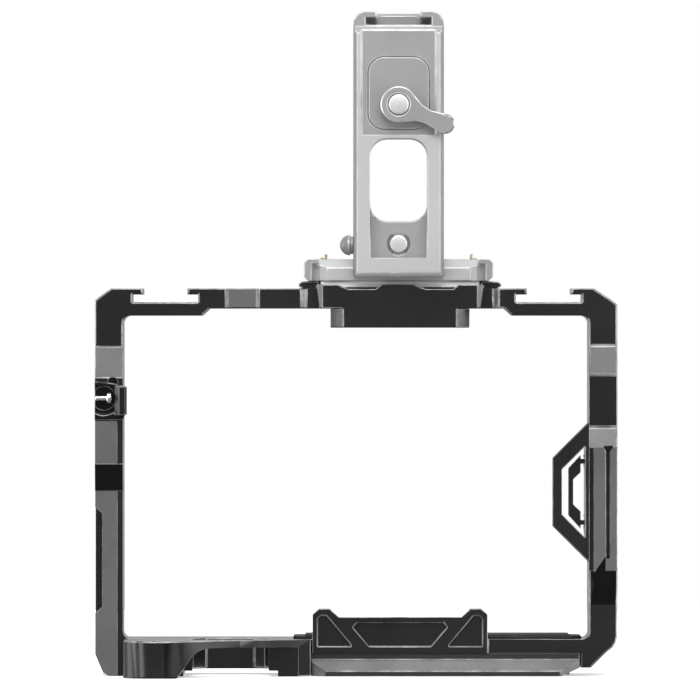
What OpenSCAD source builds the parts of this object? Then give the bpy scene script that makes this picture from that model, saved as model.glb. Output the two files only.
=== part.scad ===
// Full camera cage: a machined ring frame round a mirrorless camera body, with a quick-release
// foot, two cold shoes, a top mount and a lift-off top handle.
// Front faces -Y, +X is to the right seen from the front, +Z is up.
// The origin is on the lens axis, at the underside and the mid-depth of the quick-release foot.

/* [Camera bay] */
// Lens axis to the inner face of the grip-side upright
bay_left = 78.1; // [74:0.1:84]
// Lens axis to the inner face of the port-side upright
bay_right = 53.2; // [50:0.1:58]
// Clear height from the cage floor to the underside of the top bar
bay_h = 93.2; // [88:0.2:104]

/* [Frame] */
// Thickness of the grip-side upright
left_wall = 7.9; // [7:0.1:10]
// Thickness of the port-side upright
right_wall = 8.1; // [7:0.1:10]
// Uprights: reach in front of the mid-depth
upright_front = 17; // [14:0.5:19]
// Uprights: reach behind the mid-depth
upright_back = 13; // [11:0.5:18]
// Set-back of the stepped faces of the uprights
face_step = 3; // [1.5:0.5:5]
// Thickness of the top bar
bar_t = 5.7; // [5:0.1:8]
// Depth of the top bar, front to back
bar_depth = 24; // [20:0.5:26]
// Thickness of the cage floor
floor_t = 3.9; // [3:0.1:6]
// Depth of the cage floor, front to back
floor_depth = 38; // [34:0.5:42]
// Reach of the grip-side foot in front of the mid-depth
foot_reach = 45; // [38:0.5:50]
// Width of the open notch for the battery door
notch_w = 24; // [20:0.5:28]

/* [Cold shoes] */
// Width inside the shoe channel
shoe_w = 18.6; // [18.5:0.1:19]
// Width between the shoe's lips
shoe_gap = 12.5; // [12.2:0.1:13]
// Height of the shoe channel
shoe_h = 2.2; // [2.1:0.1:2.5]
// Thickness of the shoe's lips
shoe_lip = 1.7; // [1.4:0.1:2.2]
// Material below the shoe channel
shoe_floor = 3.8; // [3:0.1:5]
// Lens axis to the middle of the grip-side shoe
left_shoe_x = 66.2; // [64:0.1:67]
// Lens axis to the middle of the port-side shoe
right_shoe_x = 42; // [40.5:0.1:42.5]

/* [Quick-release foot] */
// Width of the dovetail at the underside
dovetail_w = 38; // [36:0.5:40]
// Thickness of the foot
plate_t = 6.5; // [6:0.1:8]
// Height of the plain strip below the dovetail slope
dovetail_strip = 1.5; // [1.2:0.1:1.8]
// Height of the dovetail slope
dovetail_rise = 3.2; // [2.6:0.1:3.6]
// Lens axis to the grip-side end of the foot
plate_left = 24.6; // [23:0.1:27]
// Lens axis to the port-side end of the foot
plate_right = 50.6; // [48:0.1:50.8]

/* [Front lip] */
// Width of the lip below the lens
lip_w = 49.4; // [40:0.2:56]
// Height of the lip's ears above the cage floor
lip_h = 8.6; // [7:0.1:11]
// Thickness of the lip
lip_t = 3.6; // [3:0.1:5]

/* [Top mount] */
// Width of the mount's flange
flange_w = 57.2; // [54:0.2:62]
// Thickness of the mount's flange
flange_t = 2; // [1.8:0.1:3]
// Width of the mount's front wall
mount_wall_w = 47; // [44:0.2:50]
// Width of the block below the top bar
block_w = 39.2; // [34:0.2:42]
// Depth of the block below the top bar
block_drop = 5.4; // [4:0.1:8]

/* [Side groove and guard] */
// Length of the groove in the port-side upright's faces
groove_h = 32; // [24:0.5:34]
// Reach of the guard plate in front of the camera
guard_w = 10.4; // [8:0.1:14]
// Height of the guard plate at the upright
guard_h = 40; // [32:0.5:44]
// Thickness of the guard plate
guard_t = 3; // [2:0.1:4]

/* [Handle] */
// Lens axis to the middle plane of the handle
handle_x = -0.4; // [-2:0.1:2]
// Width of the handle
handle_w = 25.5; // [22:0.1:28]
// Height of the handle above its foot
handle_h = 76; // [70:0.5:84]
// Reach of the handle's front face in front of the mid-depth
handle_front = 20; // [18:0.5:24]
// Reach of the grip behind the mid-depth
handle_back = 74; // [66:0.5:84]
// Depth of the handle's post, front to back
post_depth = 24; // [21:0.5:27]
// Height of the grip bar
grip_h = 23; // [20:0.5:26]
// Width of the handle's foot plate
handle_base_w = 53.4; // [50:0.2:56]
// Thickness of the handle's foot plate
handle_base_t = 6.1; // [5.5:0.1:8]
// Width of the window in the post
window_w = 16.2; // [14:0.2:18]
// Height of the window in the post
window_h = 23.3; // [18:0.1:25]
// Radius from the lock lever's pivot to its tip
lever_reach = 14.1; // [11:0.1:17]

/* [Hardware] */
// Radius of the quarter-inch camera and accessory screws
quarter_r = 3.1; // [3:0.05:3.2]
// Radius of the tapped quarter-inch holes
quarter_tap_r = 2.55; // [2.5:0.01:2.6]
// Radius of the tapped three-eighths-inch hole
three_eighths_tap_r = 4; // [3.9:0.01:4.1]
// Radius of the small assembly screws
small_r = 1.5; // [1.2:0.05:1.7]
// Radius of the handle's sprung lock pins
pin_r = 1.5; // [1.3:0.05:2]
// Width across the flats of the stowed hex key
key_flats = 4; // [3:0.1:4.5]
// Length of the hex key's long leg
key_long = 30; // [26:0.5:34]

/* [Fits] */
// Radial clearance of a pin that turns or slides in its hole
running_fit = 0.05; // [0.03:0.01:0.09]
// Radial clearance of a screw in a plain hole
screw_fit = 0.1; // [0.05:0.01:0.2]
// Gap between bodies that lie on each other
seat_gap = 0.1; // [0.05:0.01:0.2]
// Gap between bodies that pass each other
pass_gap = 0.3; // [0.25:0.05:0.5]

/* [Hidden] */
$fn = 64;
over = 1;

// Heights
floor_top = plate_t + floor_t;
bar_bottom = floor_top + bay_h;
bar_top = bar_bottom + bar_t;
shoe_base = bar_top - shoe_lip - shoe_h;
shoe_under = shoe_base - shoe_floor;
flange_top = bar_top + flange_t;
handle_z = flange_top + seat_gap;
handle_base_top = handle_z + handle_base_t;
post_foot_z = handle_z + 1.2;
handle_top = handle_z + handle_h;
grip_under = handle_top - shoe_lip - shoe_h - grip_h;

// Frame outline
outer_left = bay_left + left_wall;
outer_right = bay_right + right_wall;
bar_front = bar_depth / 2;
front_step = upright_front - face_step;
floor_back = floor_depth - front_step;

// Front faces of the uprights: heights above the cage floor where each step starts and ends
left_step_top = [bay_h - 10.8, bay_h - 19.6];
left_step_low = [49.4, 41.8];
right_step_top = [bay_h - 10.4, bay_h - 18.7];
right_step_low = [59.7, 54];
right_foot_step = [9.7, 19.3];
right_foot_z = 2.3;
right_dip = 2.6;

// Outer part of the uprights' front faces, slanted back from here outwards
left_slant_x = bay_left + 1.6;
right_slant_x = bay_right + 1.4;
slant_angle = 20;

// Waists in the top bar: start beside the grip-side shoe, run of the slanted face and depths
waist_start = 8;
waist_run = 8.8;
front_waist_d = 3.2;
back_waist_d = 2.4;

// Slanted heel under the port-side upright, and the corners of the frame's outline
right_heel = [bay_right + 0.7, bay_right + 4.8];
floor_edge = 0.8;
top_left_corner = [4.5, 3.3];
top_right_corner = [[6.6, 0], [1.8, 3.2], [0, 4.6]];
low_left_corner = [[3.8, 0], [2.2, 1], [0, 6]];
low_right_corner = [[1.5, 2.5], [0.4, 0.9], [0, -0.8]];

// Grip-side upright: hollow in its outer side
side_hollow_z = [7.4, 37];
side_hollow_d = 2;
side_hollow_back = 5;

// Grip-side foot
foot_inner = 63;
nose_left = -left_slant_x + 2.1;
nose_r = 7.6;
foot_round = [[-6, 0], [-3, 0.3], [0, 1.2], [2.6, 2.6], [5, 4.4]];
foot_wall = 2.6;
foot_roof = 2.6;
notch_left = 61;
notch_back = 5;
bridge_t = 2.1;
bridge_front = -26;
bridge_back = 20;
bridge_sweep = [[-0.8, 9], [0.6, 8.1], [1.8, 6.6], [4.6, 2.4], [6.2, 0.9], [8, 0.2], [10, 0]];
foot_lift = 1.6;
foot_block = 34.4;
foot_plate_gap = 0.6;

// Radius of the rounds in the corners of the camera bay
bay_round = 2.2;

// Front lip
lip_front = front_step + 2.4;
lip_ear = 3;
lip_ear_slope = 2.6;
lip_dip = 2.4;
panel_d = 1.1;
panel_rim = 1.4;
panel_foot = 1.8;
panel_half = [8.7, 13.4];
panel_corner = 1.4;
side_panel_w = 9.5;

// Top mount
mount_wall_t = 4;
mount_front = bar_front + mount_wall_t;
scallop_d = 1.3;
scallops = [[-17.9, -14.6, -6.9, -5.2], [4.2, 7.4, 15.1, 16.6]];
flange_bevel = 0.9;
step_w = 1.4;
step_d = 1.7;
mount_key_w = 12;
mount_key_h = 2;
block_corner = 3.6;

// Groove in the port-side upright's front and rear faces
groove_z = floor_top + 22.5;
groove_w = 1.2;
groove_d = 3.2;
groove_edge = 2.1;
flare_d = 1.2;

// Guard plate and the keeper behind its window
guard_z = floor_top + 41.6;
guard_front = upright_front + 7;
guard_rim = 2.7;
guard_foot_t = 1.2;
guard_foot_h = 27;
guard_foot_end = 3;
guard_window_edge = 12.8;
guard_screw_y = -10;
guard_screw_dz = 9;
guard_screw_l = 5;
keeper_t = 1.6;
keeper_w = 3.5;
keeper_half = [10.4, 6.6];
keeper_tab_z = 8.6;
keeper_tab_half = 0.7;
keeper_tab_l = 1.2;
keeper_notch = 2.1;
keeper_notch_half = [5.5, 3.5];

// Strap clamp on the grip-side upright
clamp_z = floor_top + 61.5;
clamp_h = 12.4;
clamp_t = 3.6;
clamp_screw_z = clamp_z + 6.4;
clamp_screw_y = -upright_front - 2.8;
clamp_pocket_x = -outer_left + 2.6;
clamp_pocket_r = 3.4;
clamp_slot_half = 1.9;
clamp_wall = 1;
clamp_w = 8.9;
clamp_edge = [0.3, 2.5, 9.7, 10.4];
hook_x = [5.6, 7, 8.5, 9];
hook_y = [1.6, 1.2];
hook_back = 3;
boss_r = 1.6;
boss_at = [5.1, 10.9];
strap_screw_r = 0.7;
strap_head_r = 1.55;
strap_head_t = 1.2;

// Quick-release foot: length of the slanted corners at its two ends
plate_corner = [3.6, 5.4];

// Camera screw and its fold-down ring
camera_head_r = 8.4;
camera_head_z = 2;
camera_head_h = 2.4;
camera_top = camera_head_z + camera_head_h;
camera_reach = 6;
relief_r = 2.3;
relief_top = 0.5;
ring_wire = 0.6;
ring_half = 5.4;
ring_pivot_y = 3;
ring_z = camera_head_z - pass_gap - ring_wire;
ring_ear_x = [2.2, 3.8];
ear_half = 1.3;
coin_slot = [0.9, 1.2];

// Hex key, stowed in a slot under the grip-side foot
key_x = -outer_left + 10;
key_y = 19;
key_z = 2.2;
key_bend = 4;
key_short = 10;
magnet_r = 2;
magnet_h = 2;
magnet_places = [key_x + 9, key_x + key_long - 4];

// Tripod threads in the foot
tripod_quarter_x = 20;
tripod_large_x = 34;

// Handle
handle_head_z = handle_z + 41;
window_z = handle_z + 16.8;
window_r = 5;
pocket_z = handle_z + 6.4;
post_screw_z = handle_z + 10.4;
lever_z = handle_z + 49.6;
lever_fall = 23;
head_recess = 0.8;
pocket_d = 3.2;
head_rim = 2.3;
head_top_rim = 4.4;
edge_r = 3.7;
under_r = 4;
front_bevel = 0.9;
lever_t = 2.6;
lever_screw_r = 2.8;
lever_screw_l = 12;
lever_hub_r = 5.1;
lever_tip_r = 2.8;
plate_w = 16.9;
plate_h = 20.2;
plate_round = 4.3;
plate_z = handle_z + 42.7;
plate_sink = 1.2;
plate_proud = 0.3;
button_r = 2.9;
button_z = handle_z + 10.1;
button_y = -8;
button_stem_r = 1.6;
button_press = 1.5;
button_proud = 0.9;
button_cavity = [3.5, 7];
spring_r = 2;
spring_wire = 0.22;
pin_x = 21.6;
pin_head = 1.5;
pin_sink = 4;
pad_d = 1.6;
pad_t = 1.3;
pad_front = 11;
pad_back = 18;
pad_left = 30.1;
pad_inset = 2;
pad_clear = 9.5;
pad_corner = 3;
pad_y = [16, 66];
pad_low = 5;
pad_high = 7;
shoe_len = 20;
stop_half = shoe_gap / 2 - 0.05;
stop_h = 2.9;

// ---- Shared shapes ----

// A Y-Z outline drawn along X
module along_x(points, x0, x1)
    translate([x0, 0, 0]) rotate([90, 0, 90]) linear_extrude(x1 - x0) polygon(points);

// An X-Z outline drawn along Y
module along_y(points, y0, y1)
    translate([0, y1, 0]) rotate([90, 0, 0]) linear_extrude(y1 - y0) polygon(points);

// An X-Y outline drawn along Z
module along_z(points, z0, z1)
    translate([0, 0, z0]) linear_extrude(z1 - z0) polygon(points);

module block(low, high)
    translate(low) cube(high - low);

module bar_x(r, x0, x1)
    translate([x0, 0, 0]) rotate([0, 90, 0]) cylinder(r = r, h = x1 - x0);

module bar_y(r, y0, y1)
    translate([0, y0, 0]) rotate([-90, 0, 0]) cylinder(r = r, h = y1 - y0);

// A plate with four round corners, standing in X-Z, from y0 to y1
module round_plate(w, h, r, y0, y1) {
    block([-w / 2 + r, y0, 0], [w / 2 - r, y1, h]);
    block([-w / 2, y0, r], [w / 2, y1, h - r]);
    for (x = [r - w / 2, w / 2 - r], z = [r, h - r])
        translate([x, 0, z]) bar_y(r, y0, y1);
}

// A rectangle with its corners cut off
function cut_box(low, high, c) = [
    [low[0] + c, low[1]], [high[0] - c, low[1]], [high[0], low[1] + c], [high[0], high[1] - c],
    [high[0] - c, high[1]], [low[0] + c, high[1]], [low[0], high[1] - c], [low[0], low[1] + c]
];

// The T-shaped hollow of a cold shoe, its channel floor at z = 0
module shoe_cut(y0, y1) {
    block([-shoe_w / 2, y0, 0], [shoe_w / 2, y1, shoe_h]);
    block([-shoe_gap / 2, y0, 0], [shoe_gap / 2, y1, shoe_h + shoe_lip + over]);
}

// A flat-headed screw, head upwards at z = 0
module flat_screw(r, length) {
    translate([0, 0, -length]) cylinder(r = r, h = length);
    translate([0, 0, -r]) cylinder(r1 = r, r2 = 2 * r, h = r);
}

// The hole that a flat-headed screw sits in
module flat_screw_hole(r, length) {
    translate([0, 0, -length - screw_fit]) cylinder(r = r + screw_fit, h = length + screw_fit + over);
    translate([0, 0, -r]) cylinder(r1 = r + screw_fit, r2 = 2 * r + screw_fit, h = r);
    cylinder(r = 2 * r + screw_fit, h = over);
}

// A hexagon socket in a screw's head, opening upwards at z = 0
module socket(flats, depth)
    translate([0, 0, -depth]) cylinder(r = flats / sqrt(3), h = depth + over, $fn = 6);

// ---- Frame ----

foot_screw_places = [[-18.5, -11], [-18.5, 11], [45, -11], [45, 11]];
foot_screw_sink = 0.4;
foot_screw_l = plate_t + floor_t - 1.6;
mount_screw_places = [[-13, -7], [-13, 7], [13, -7], [13, 7]];
mount_screw_l = flange_t + 3.6;
bar_thread_places = [-50, -37];
left_thread_places = [56, 42];
right_thread_places = [70, 12];

module left_upright() {
    y = [-front_step, -upright_front];
    along_x([
        [upright_back, 0], [upright_back, bar_top], [y[0], bar_top],
        [y[0], floor_top + left_step_top[0]], [y[1], floor_top + left_step_top[1]],
        [y[1], floor_top + left_step_low[0]], [y[0], floor_top + left_step_low[1]],
        [y[0], 0]
    ], -outer_left, -bay_left);
}

module right_upright() {
    y = [-front_step, -upright_front];
    along_x([
        [upright_back, right_foot_z], [upright_back, bar_top], [y[0], bar_top],
        [y[0], floor_top + right_step_top[0]], [y[1], floor_top + right_step_top[1]],
        [y[1] + right_dip, floor_top + right_step_low[0]], [y[1], floor_top + right_step_low[1]],
        [y[1], floor_top + right_foot_step[1]], [y[0], floor_top + right_foot_step[0]],
        [y[0], right_foot_z]
    ], bay_right, outer_right);
}

// Front view of the top bar, deeper below the two shoes
module top_bar() {
    shoe_side = shoe_w / 2 + 1.1;
    slope = 2.2;
    along_y([
        [-outer_left, shoe_under], [-outer_left, bar_top], [outer_right, bar_top],
        [outer_right, shoe_under], [right_shoe_x - shoe_side, shoe_under],
        [right_shoe_x - shoe_side - slope, bar_bottom],
        [-left_shoe_x + shoe_side + slope, bar_bottom],
        [-left_shoe_x + shoe_side, shoe_under]
    ], -front_step, bar_front);
}

// Grip-side foot: a deep front wall that sweeps up into a thin bridge over the battery notch
module grip_foot() {
    inner = -plate_left - foot_plate_gap;
    front = -foot_reach - over;
    notch_right = notch_w - notch_left;
    lean = (outer_left - left_slant_x) * tan(slant_angle);
    translate([nose_left + nose_r, nose_r - foot_reach, 0]) cylinder(r = nose_r, h = floor_top);
    difference() {
        along_z([
            [-outer_left, lean - front_step], [-left_slant_x, -front_step], [nose_left, -front_step],
            [nose_left, nose_r - foot_reach], [nose_left + nose_r, -foot_reach],
            for (p = foot_round) [p[0] - foot_inner, p[1] - foot_reach],
            [notch_right - 8, bridge_front - 2], [notch_right - 2, bridge_front], [inner, bridge_front + 8],
            [inner, floor_back], [-outer_left, floor_back]
        ], 0, floor_top);
        // Sweep below the bridge
        along_y(concat(
            [for (p = bridge_sweep) [p[0] - foot_inner, floor_top - bridge_t - p[1]]],
            [[inner + over, floor_top - bridge_t], [inner + over, -over], [-foot_inner, -over]]
        ), front, -bridge_back);
        // Opening for the battery door
        along_z([
            [2.5 - notch_left, -bridge_back], [notch_right, -bridge_back], [notch_right, notch_back - 4],
            [notch_right - 1.2, notch_back - 1.2], [notch_right - 4, notch_back],
            [6 - notch_left, notch_back], [2.5 - notch_left, notch_back - 3.5]
        ], -over, floor_top + over);
        // Underside of the part behind the battery opening
        block([-notch_left, -bridge_back - over, -over], [-foot_block, floor_back + over, foot_lift]);
    }
}

// Rounds in the inner corners of the camera bay, seen from the front
module bay_fillets() {
    for (c = [[-bay_left, shoe_under, 1, -1], [bay_right, shoe_under, -1, -1],
              [-bay_left, floor_top, 1, 1], [bay_right, floor_top, -1, 1]])
        translate([c[0], 0, c[1]]) mirror([c[2] < 0 ? 1 : 0, 0, 0]) mirror([0, 0, c[3] < 0 ? 1 : 0])
            difference() {
                block([-1, -front_step, -1], [bay_round, bar_front, bay_round]);
                translate([bay_round, 0, bay_round]) bar_y(bay_round, -front_step - over, bar_front + over);
            }
}

// Lightening pocket under the front of the grip-side foot
module foot_pocket() {
    side = nose_left + foot_wall;
    along_z([
        [-outer_left + 4, -8], [side, foot_wall - front_step], [side, nose_r - foot_reach],
        [side + 5, foot_wall - foot_reach], [-foot_inner - 3 - foot_wall, foot_wall - foot_reach],
        [-notch_left - foot_wall, -front_step], [-notch_left - foot_wall, 2], [-outer_left + 4, 2]
    ], -over, floor_top - foot_roof);
}

module cage_floor() {
    inner = -plate_left - foot_plate_gap - over;
    along_y([
        [inner, plate_t], [plate_right + pass_gap, plate_t], [plate_right + pass_gap, right_foot_z],
        [right_heel[0], right_foot_z], [right_heel[1], plate_t], [outer_right, floor_top - floor_edge],
        [outer_right, floor_top], [inner, floor_top]
    ], -front_step, floor_back);
}

// Front outline of the lip, which stands on the cage floor's front edge
module lip() {
    half = lip_w / 2;
    top = floor_top + lip_h;
    ear = half - 1.9;
    foot = ear - lip_ear - lip_ear_slope;
    along_y([
        [-half, plate_t], [half, plate_t], [half, top - 1.6], [ear, top], [ear - lip_ear, top],
        [foot, top - lip_dip], [-foot, top - lip_dip], [lip_ear - ear, top], [-ear, top],
        [-half, top - 1.6]
    ], -lip_front, lip_t - lip_front);
}

// The three sunk panels of the lip: a trapezoid between two triangles
module lip_panels() {
    top = floor_top + lip_h - lip_dip - panel_rim;
    low = plate_t + panel_foot;
    half = lip_w / 2 - panel_rim;
    y = [-lip_front - over, panel_d - lip_front];
    top_half = panel_half[1] - panel_corner;
    along_y([
        [-panel_half[0], low], [panel_half[0], low], [panel_half[1], top - panel_corner],
        [top_half, top], [-top_half, top], [-panel_half[1], top - panel_corner]
    ], y[0], y[1]);
    for (side = [0, 1]) mirror([side, 0, 0])
        along_y([
            [half, low], [half - side_panel_w, low], [half - side_panel_w, low + 0.6],
            [half - lip_ear_slope, top + 1.9], [half - 1, top + 1.9], [half, top + 1]
        ], y[0], y[1]);
}

// The groove in the front and rear faces of the port-side upright
module side_grooves() {
    x = outer_right - groove_edge - groove_w;
    for (y = [[-upright_front - over, groove_d - upright_front],
              [upright_back - groove_d / 2, upright_back + over]])
        along_y([
            [x, groove_z + 0.8], [x + groove_w / 2, groove_z], [x + groove_w, groove_z + 0.8],
            [x + groove_w, groove_z + groove_h - 1.6], [x + groove_w + 0.8, groove_z + groove_h],
            [x - 0.8, groove_z + groove_h], [x, groove_z + groove_h - 1.6]
        ], y[0], y[1]);
    // Flare at its foot, running out into the stepped face
    along_y([
        [x - 3.4, groove_z - 7.2], [x - 3.4, groove_z - 4], [x, groove_z + over], [x + groove_w, groove_z + over],
        [x + groove_w + 1.7, groove_z - 3], [x + groove_w + 1.7, groove_z - 7.2]
    ], -upright_front - over, flare_d - upright_front);
}

module outer_corner_cuts() {
    y = [-foot_reach - over, foot_reach];
    along_y([
        [-outer_left - over, bar_top - top_left_corner[1]], [-outer_left, bar_top - top_left_corner[1]],
        [top_left_corner[0] - outer_left, bar_top], [top_left_corner[0] - outer_left, bar_top + over],
        [-outer_left - over, bar_top + over]
    ], y[0], y[1]);
    along_y(concat(
        [for (p = top_right_corner) [outer_right - p[0], bar_top - p[1]]],
        [[outer_right + over, bar_top - top_right_corner[2][1]], [outer_right + over, bar_top + over],
         [outer_right - top_right_corner[0][0], bar_top + over]]
    ), y[0], y[1]);
    along_y(concat(
        [for (p = low_left_corner) [p[0] - outer_left, p[1]]],
        [[-outer_left - over, low_left_corner[2][1]], [-outer_left - over, -over],
         [low_left_corner[0][0] - outer_left, -over]]
    ), y[0], y[1]);
    along_y(concat(
        [[right_heel[0], right_foot_z], [right_heel[1], plate_t]],
        [for (p = low_right_corner) [outer_right - p[0], floor_top - p[1]]],
        [[outer_right + over, floor_top - low_right_corner[2][1]], [outer_right + over, -over],
         [right_heel[0], -over]]
    ), y[0], y[1]);
    // Hollow in the grip side's outer face
    along_y([
        [-outer_left - over, floor_top + side_hollow_z[0] - 1],
        [side_hollow_d - outer_left, floor_top + side_hollow_z[0] + 1.6],
        [side_hollow_d - outer_left, floor_top + side_hollow_z[1] - 1.6],
        [-outer_left - over, floor_top + side_hollow_z[1] + 1]
    ], y[0], -side_hollow_back);
}

// Front faces slanted back towards the outside: start, side, width, front face and height range
module outer_slants() {
    left_w = outer_left - left_slant_x;
    right_w = outer_right - right_slant_x;
    lean = tan(slant_angle);
    for (s = [
        [-left_slant_x, -1, left_w, front_step, -over, floor_top + left_step_low[1]],
        [-left_slant_x, -1, left_w, upright_front, floor_top + left_step_low[0], clamp_z],
        [right_slant_x, 1, right_w, upright_front, floor_top + right_foot_step[1],
         floor_top + right_step_low[1]]
    ]) {
        end = s[0] + s[1] * (s[2] + over);
        along_z([
            [s[0], -s[3] - over], [s[0], -s[3]], [end, lean * (s[2] + over) - s[3]], [end, -s[3] - over]
        ], s[4], s[5]);
    }
}

// Waists in the top bar: between the grip-side shoe and the top mount, and in front below the mount
module bar_waists() {
    start = -left_shoe_x + shoe_w / 2 + waist_start;
    side = flange_w / 2;
    along_z([
        [start, bar_front + over], [start, bar_front], [start + waist_run, bar_front - back_waist_d],
        [1 - side, bar_front - back_waist_d], [2 - side, bar_front], [2 - side, bar_front + over]
    ], bar_bottom - over, bar_top + over);
    along_z([
        [start, -front_step - over], [start, -front_step], [start + waist_run, front_waist_d - front_step],
        [1 - side, front_waist_d - front_step], [2 - side, -bar_front], [side - 2.1, -bar_front],
        [side - 0.9, -front_step], [side - 0.9, -front_step - over]
    ], bar_bottom - over, bar_top + over);
}

module frame_holes() {
    cylinder(r = quarter_r + pass_gap, h = floor_top + over);
    for (p = foot_screw_places)
        translate([p[0], p[1], plate_t - over]) cylinder(r = small_r + screw_fit, h = floor_t - 0.8 + over);
    for (p = mount_screw_places)
        translate([p[0], p[1], flange_top - mount_screw_l - 0.3])
            cylinder(r = small_r + screw_fit, h = mount_screw_l);
    for (x = bar_thread_places)
        translate([x, 0, bar_bottom - over]) cylinder(r = quarter_tap_r, h = bar_t + 2 * over);
    for (side = [-1, 1])
        translate([handle_x + side * pin_x, pin_y, bar_top - pin_sink - pass_gap])
            cylinder(r = pin_r + pass_gap, h = pin_sink + pass_gap + over);
    for (z = left_thread_places)
        translate([0, 0, floor_top + z]) bar_x(quarter_tap_r, -outer_left - over, over - bay_left);
    for (z = right_thread_places)
        translate([0, 0, floor_top + z]) bar_x(quarter_tap_r, bay_right - over, outer_right + over);
    for (side = [-1, 1])
        translate([0, guard_screw_y, guard_z + side * guard_screw_dz])
            bar_x(small_r + screw_fit, bay_right - over, bay_right + guard_screw_l);
    key_cut(key_fit);
    for (x = magnet_places)
        translate([x, key_y, key_z + key_flats])
            cylinder(r = magnet_r + screw_fit, h = magnet_h + 2 * screw_fit);
}

module main_frame() color([0.17, 0.17, 0.18]) {
    difference() {
        union() {
            left_upright();
            right_upright();
            top_bar();
            grip_foot();
            cage_floor();
            lip();
            bay_fillets();
        }
        outer_corner_cuts();
        outer_slants();
        bar_waists();
        for (x = [-left_shoe_x, right_shoe_x])
            translate([x, 0, shoe_base]) shoe_cut(-front_step - over, bar_front + over);
        lip_panels();
        side_grooves();
        foot_pocket();
        frame_holes();
    }
}

module quick_release_foot() color([0.42, 0.42, 0.44]) {
    half = dovetail_w / 2;
    neck = half - dovetail_rise;
    top = dovetail_strip + dovetail_rise;
    difference() {
        along_x([
            [-half, 0], [half, 0], [half, dovetail_strip], [neck, top], [neck, plate_t],
            [-neck, plate_t], [-neck, top], [-half, dovetail_strip]
        ], -plate_left, plate_right);
        // Slanted corners at the two ends
        for (side = [0, 1], e = [[plate_right, -1, plate_corner[1]], [-plate_left, 1, plate_corner[0]]])
            mirror([0, side, 0])
                along_z([
                    [e[0] - e[1], half + over], [e[0] + e[1] * e[2], half + over],
                    [e[0] + e[1] * e[2], half], [e[0] - e[1], half - dovetail_rise]
                ], -over, plate_t + over);
        translate([0, 0, -over]) cylinder(r = camera_head_r + pass_gap, h = camera_top + pass_gap + over);
        cylinder(r = quarter_r + pass_gap, h = plate_t + over);
        translate([tripod_quarter_x, 0, -over]) cylinder(r = quarter_tap_r, h = plate_t + 2 * over);
        translate([tripod_large_x, 0, -over]) cylinder(r = three_eighths_tap_r, h = plate_t + 2 * over);
        for (p = foot_screw_places)
            translate([p[0], p[1], foot_screw_sink]) mirror([0, 0, 1]) flat_screw_hole(small_r, foot_screw_l);
    }
}

module foot_screws() color("dimgray")
    for (p = foot_screw_places)
        translate([p[0], p[1], foot_screw_sink]) mirror([0, 0, 1])
            difference() {
                flat_screw(small_r, foot_screw_l);
                socket(2, 1.1);
            }

// ---- Camera screw and its fold-down ring ----

module camera_screw() color("silver") {
    thread_top = floor_top + camera_reach;
    difference() {
        union() {
            translate([0, 0, camera_head_z]) cylinder(r = camera_head_r, h = camera_head_h);
            cylinder_between(relief_r, camera_top - over, thread_top - 1);
            cylinder_between(quarter_r, floor_top + relief_top, thread_top - 1);
            translate([0, 0, thread_top - 1]) cylinder(r1 = quarter_r, r2 = quarter_r - 0.8, h = 1);
            // Ears that the ring hinges in
            for (side = [0, 1]) mirror([side, 0, 0])
                block([ring_ear_x[0], ring_pivot_y - ear_half, ring_z - ring_wire],
                      [ring_ear_x[1], ring_pivot_y + ear_half, camera_head_z + over]);
        }
        // Coin slot
        block([-camera_head_r - over, -coin_slot[0], camera_head_z - over],
              [camera_head_r + over, coin_slot[0], camera_head_z + coin_slot[1]]);
        translate([0, ring_pivot_y, ring_z]) bar_x(ring_wire + running_fit, -ring_half, ring_half);
    }
}

module cylinder_between(r, z0, z1)
    translate([0, 0, z0]) cylinder(r = r, h = z1 - z0);

// Bent wire ring, folded flat below the screw's head
module camera_screw_ring() color("gainsboro") {
    far = ring_half + 0.2;
    translate([0, ring_pivot_y, ring_z]) bar_x(ring_wire, -ring_half, ring_half);
    translate([0, -far, ring_z]) bar_x(ring_wire, -ring_half, ring_half);
    for (side = [-1, 1]) {
        translate([side * ring_half, 0, ring_z]) bar_y(ring_wire, -far, ring_pivot_y);
        for (y = [-far, ring_pivot_y])
            translate([side * ring_half, y, ring_z]) sphere(r = ring_wire);
    }
}

// ---- Pads ----

module floor_pads() color([0.08, 0.08, 0.08])
    for (x = [[-pad_left, -pad_clear], [pad_clear, bay_right - pad_inset]])
        along_z(cut_box([x[0], -pad_front], [x[1], pad_back], pad_corner), floor_top, floor_top + pad_t);

module lip_pad() color([0.08, 0.08, 0.08])
    block([pad_corner - lip_w / 2 + lip_ear, lip_t - lip_front, floor_top + 0.4],
          [lip_w / 2 - lip_ear - pad_corner, lip_t - lip_front + 0.9, floor_top + lip_h - lip_dip - 0.6]);

// ---- Top mount ----

// Front wall of the mount: a bar with two scallops in its top edge
module mount_wall() {
    half = mount_wall_w / 2;
    top = flange_top - flange_bevel;
    low = top - scallop_d;
    difference() {
        along_y([
            [0.8 - half, bar_bottom], [half - 0.8, bar_bottom], [half, top - 0.6], [half - 0.6, top],
            [0.6 - half, top], [-half, top - 0.6]
        ], -mount_front, -bar_front);
        for (s = scallops)
            along_y([
                [s[0], top], [s[1], low], [s[2], low], [s[3], top], [s[3], top + over], [s[0], top + over]
            ], -mount_front - over, over - bar_front);
        // Slanted ends of the front face
        for (side = [0, 1]) mirror([side, 0, 0])
            along_z([
                [half - 1.6, -mount_front - over], [half - 1.6, -mount_front],
                [half + over, 2.4 - mount_front], [half + over, -mount_front - over]
            ], bar_bottom - over, flange_top + over);
    }
}

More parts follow.
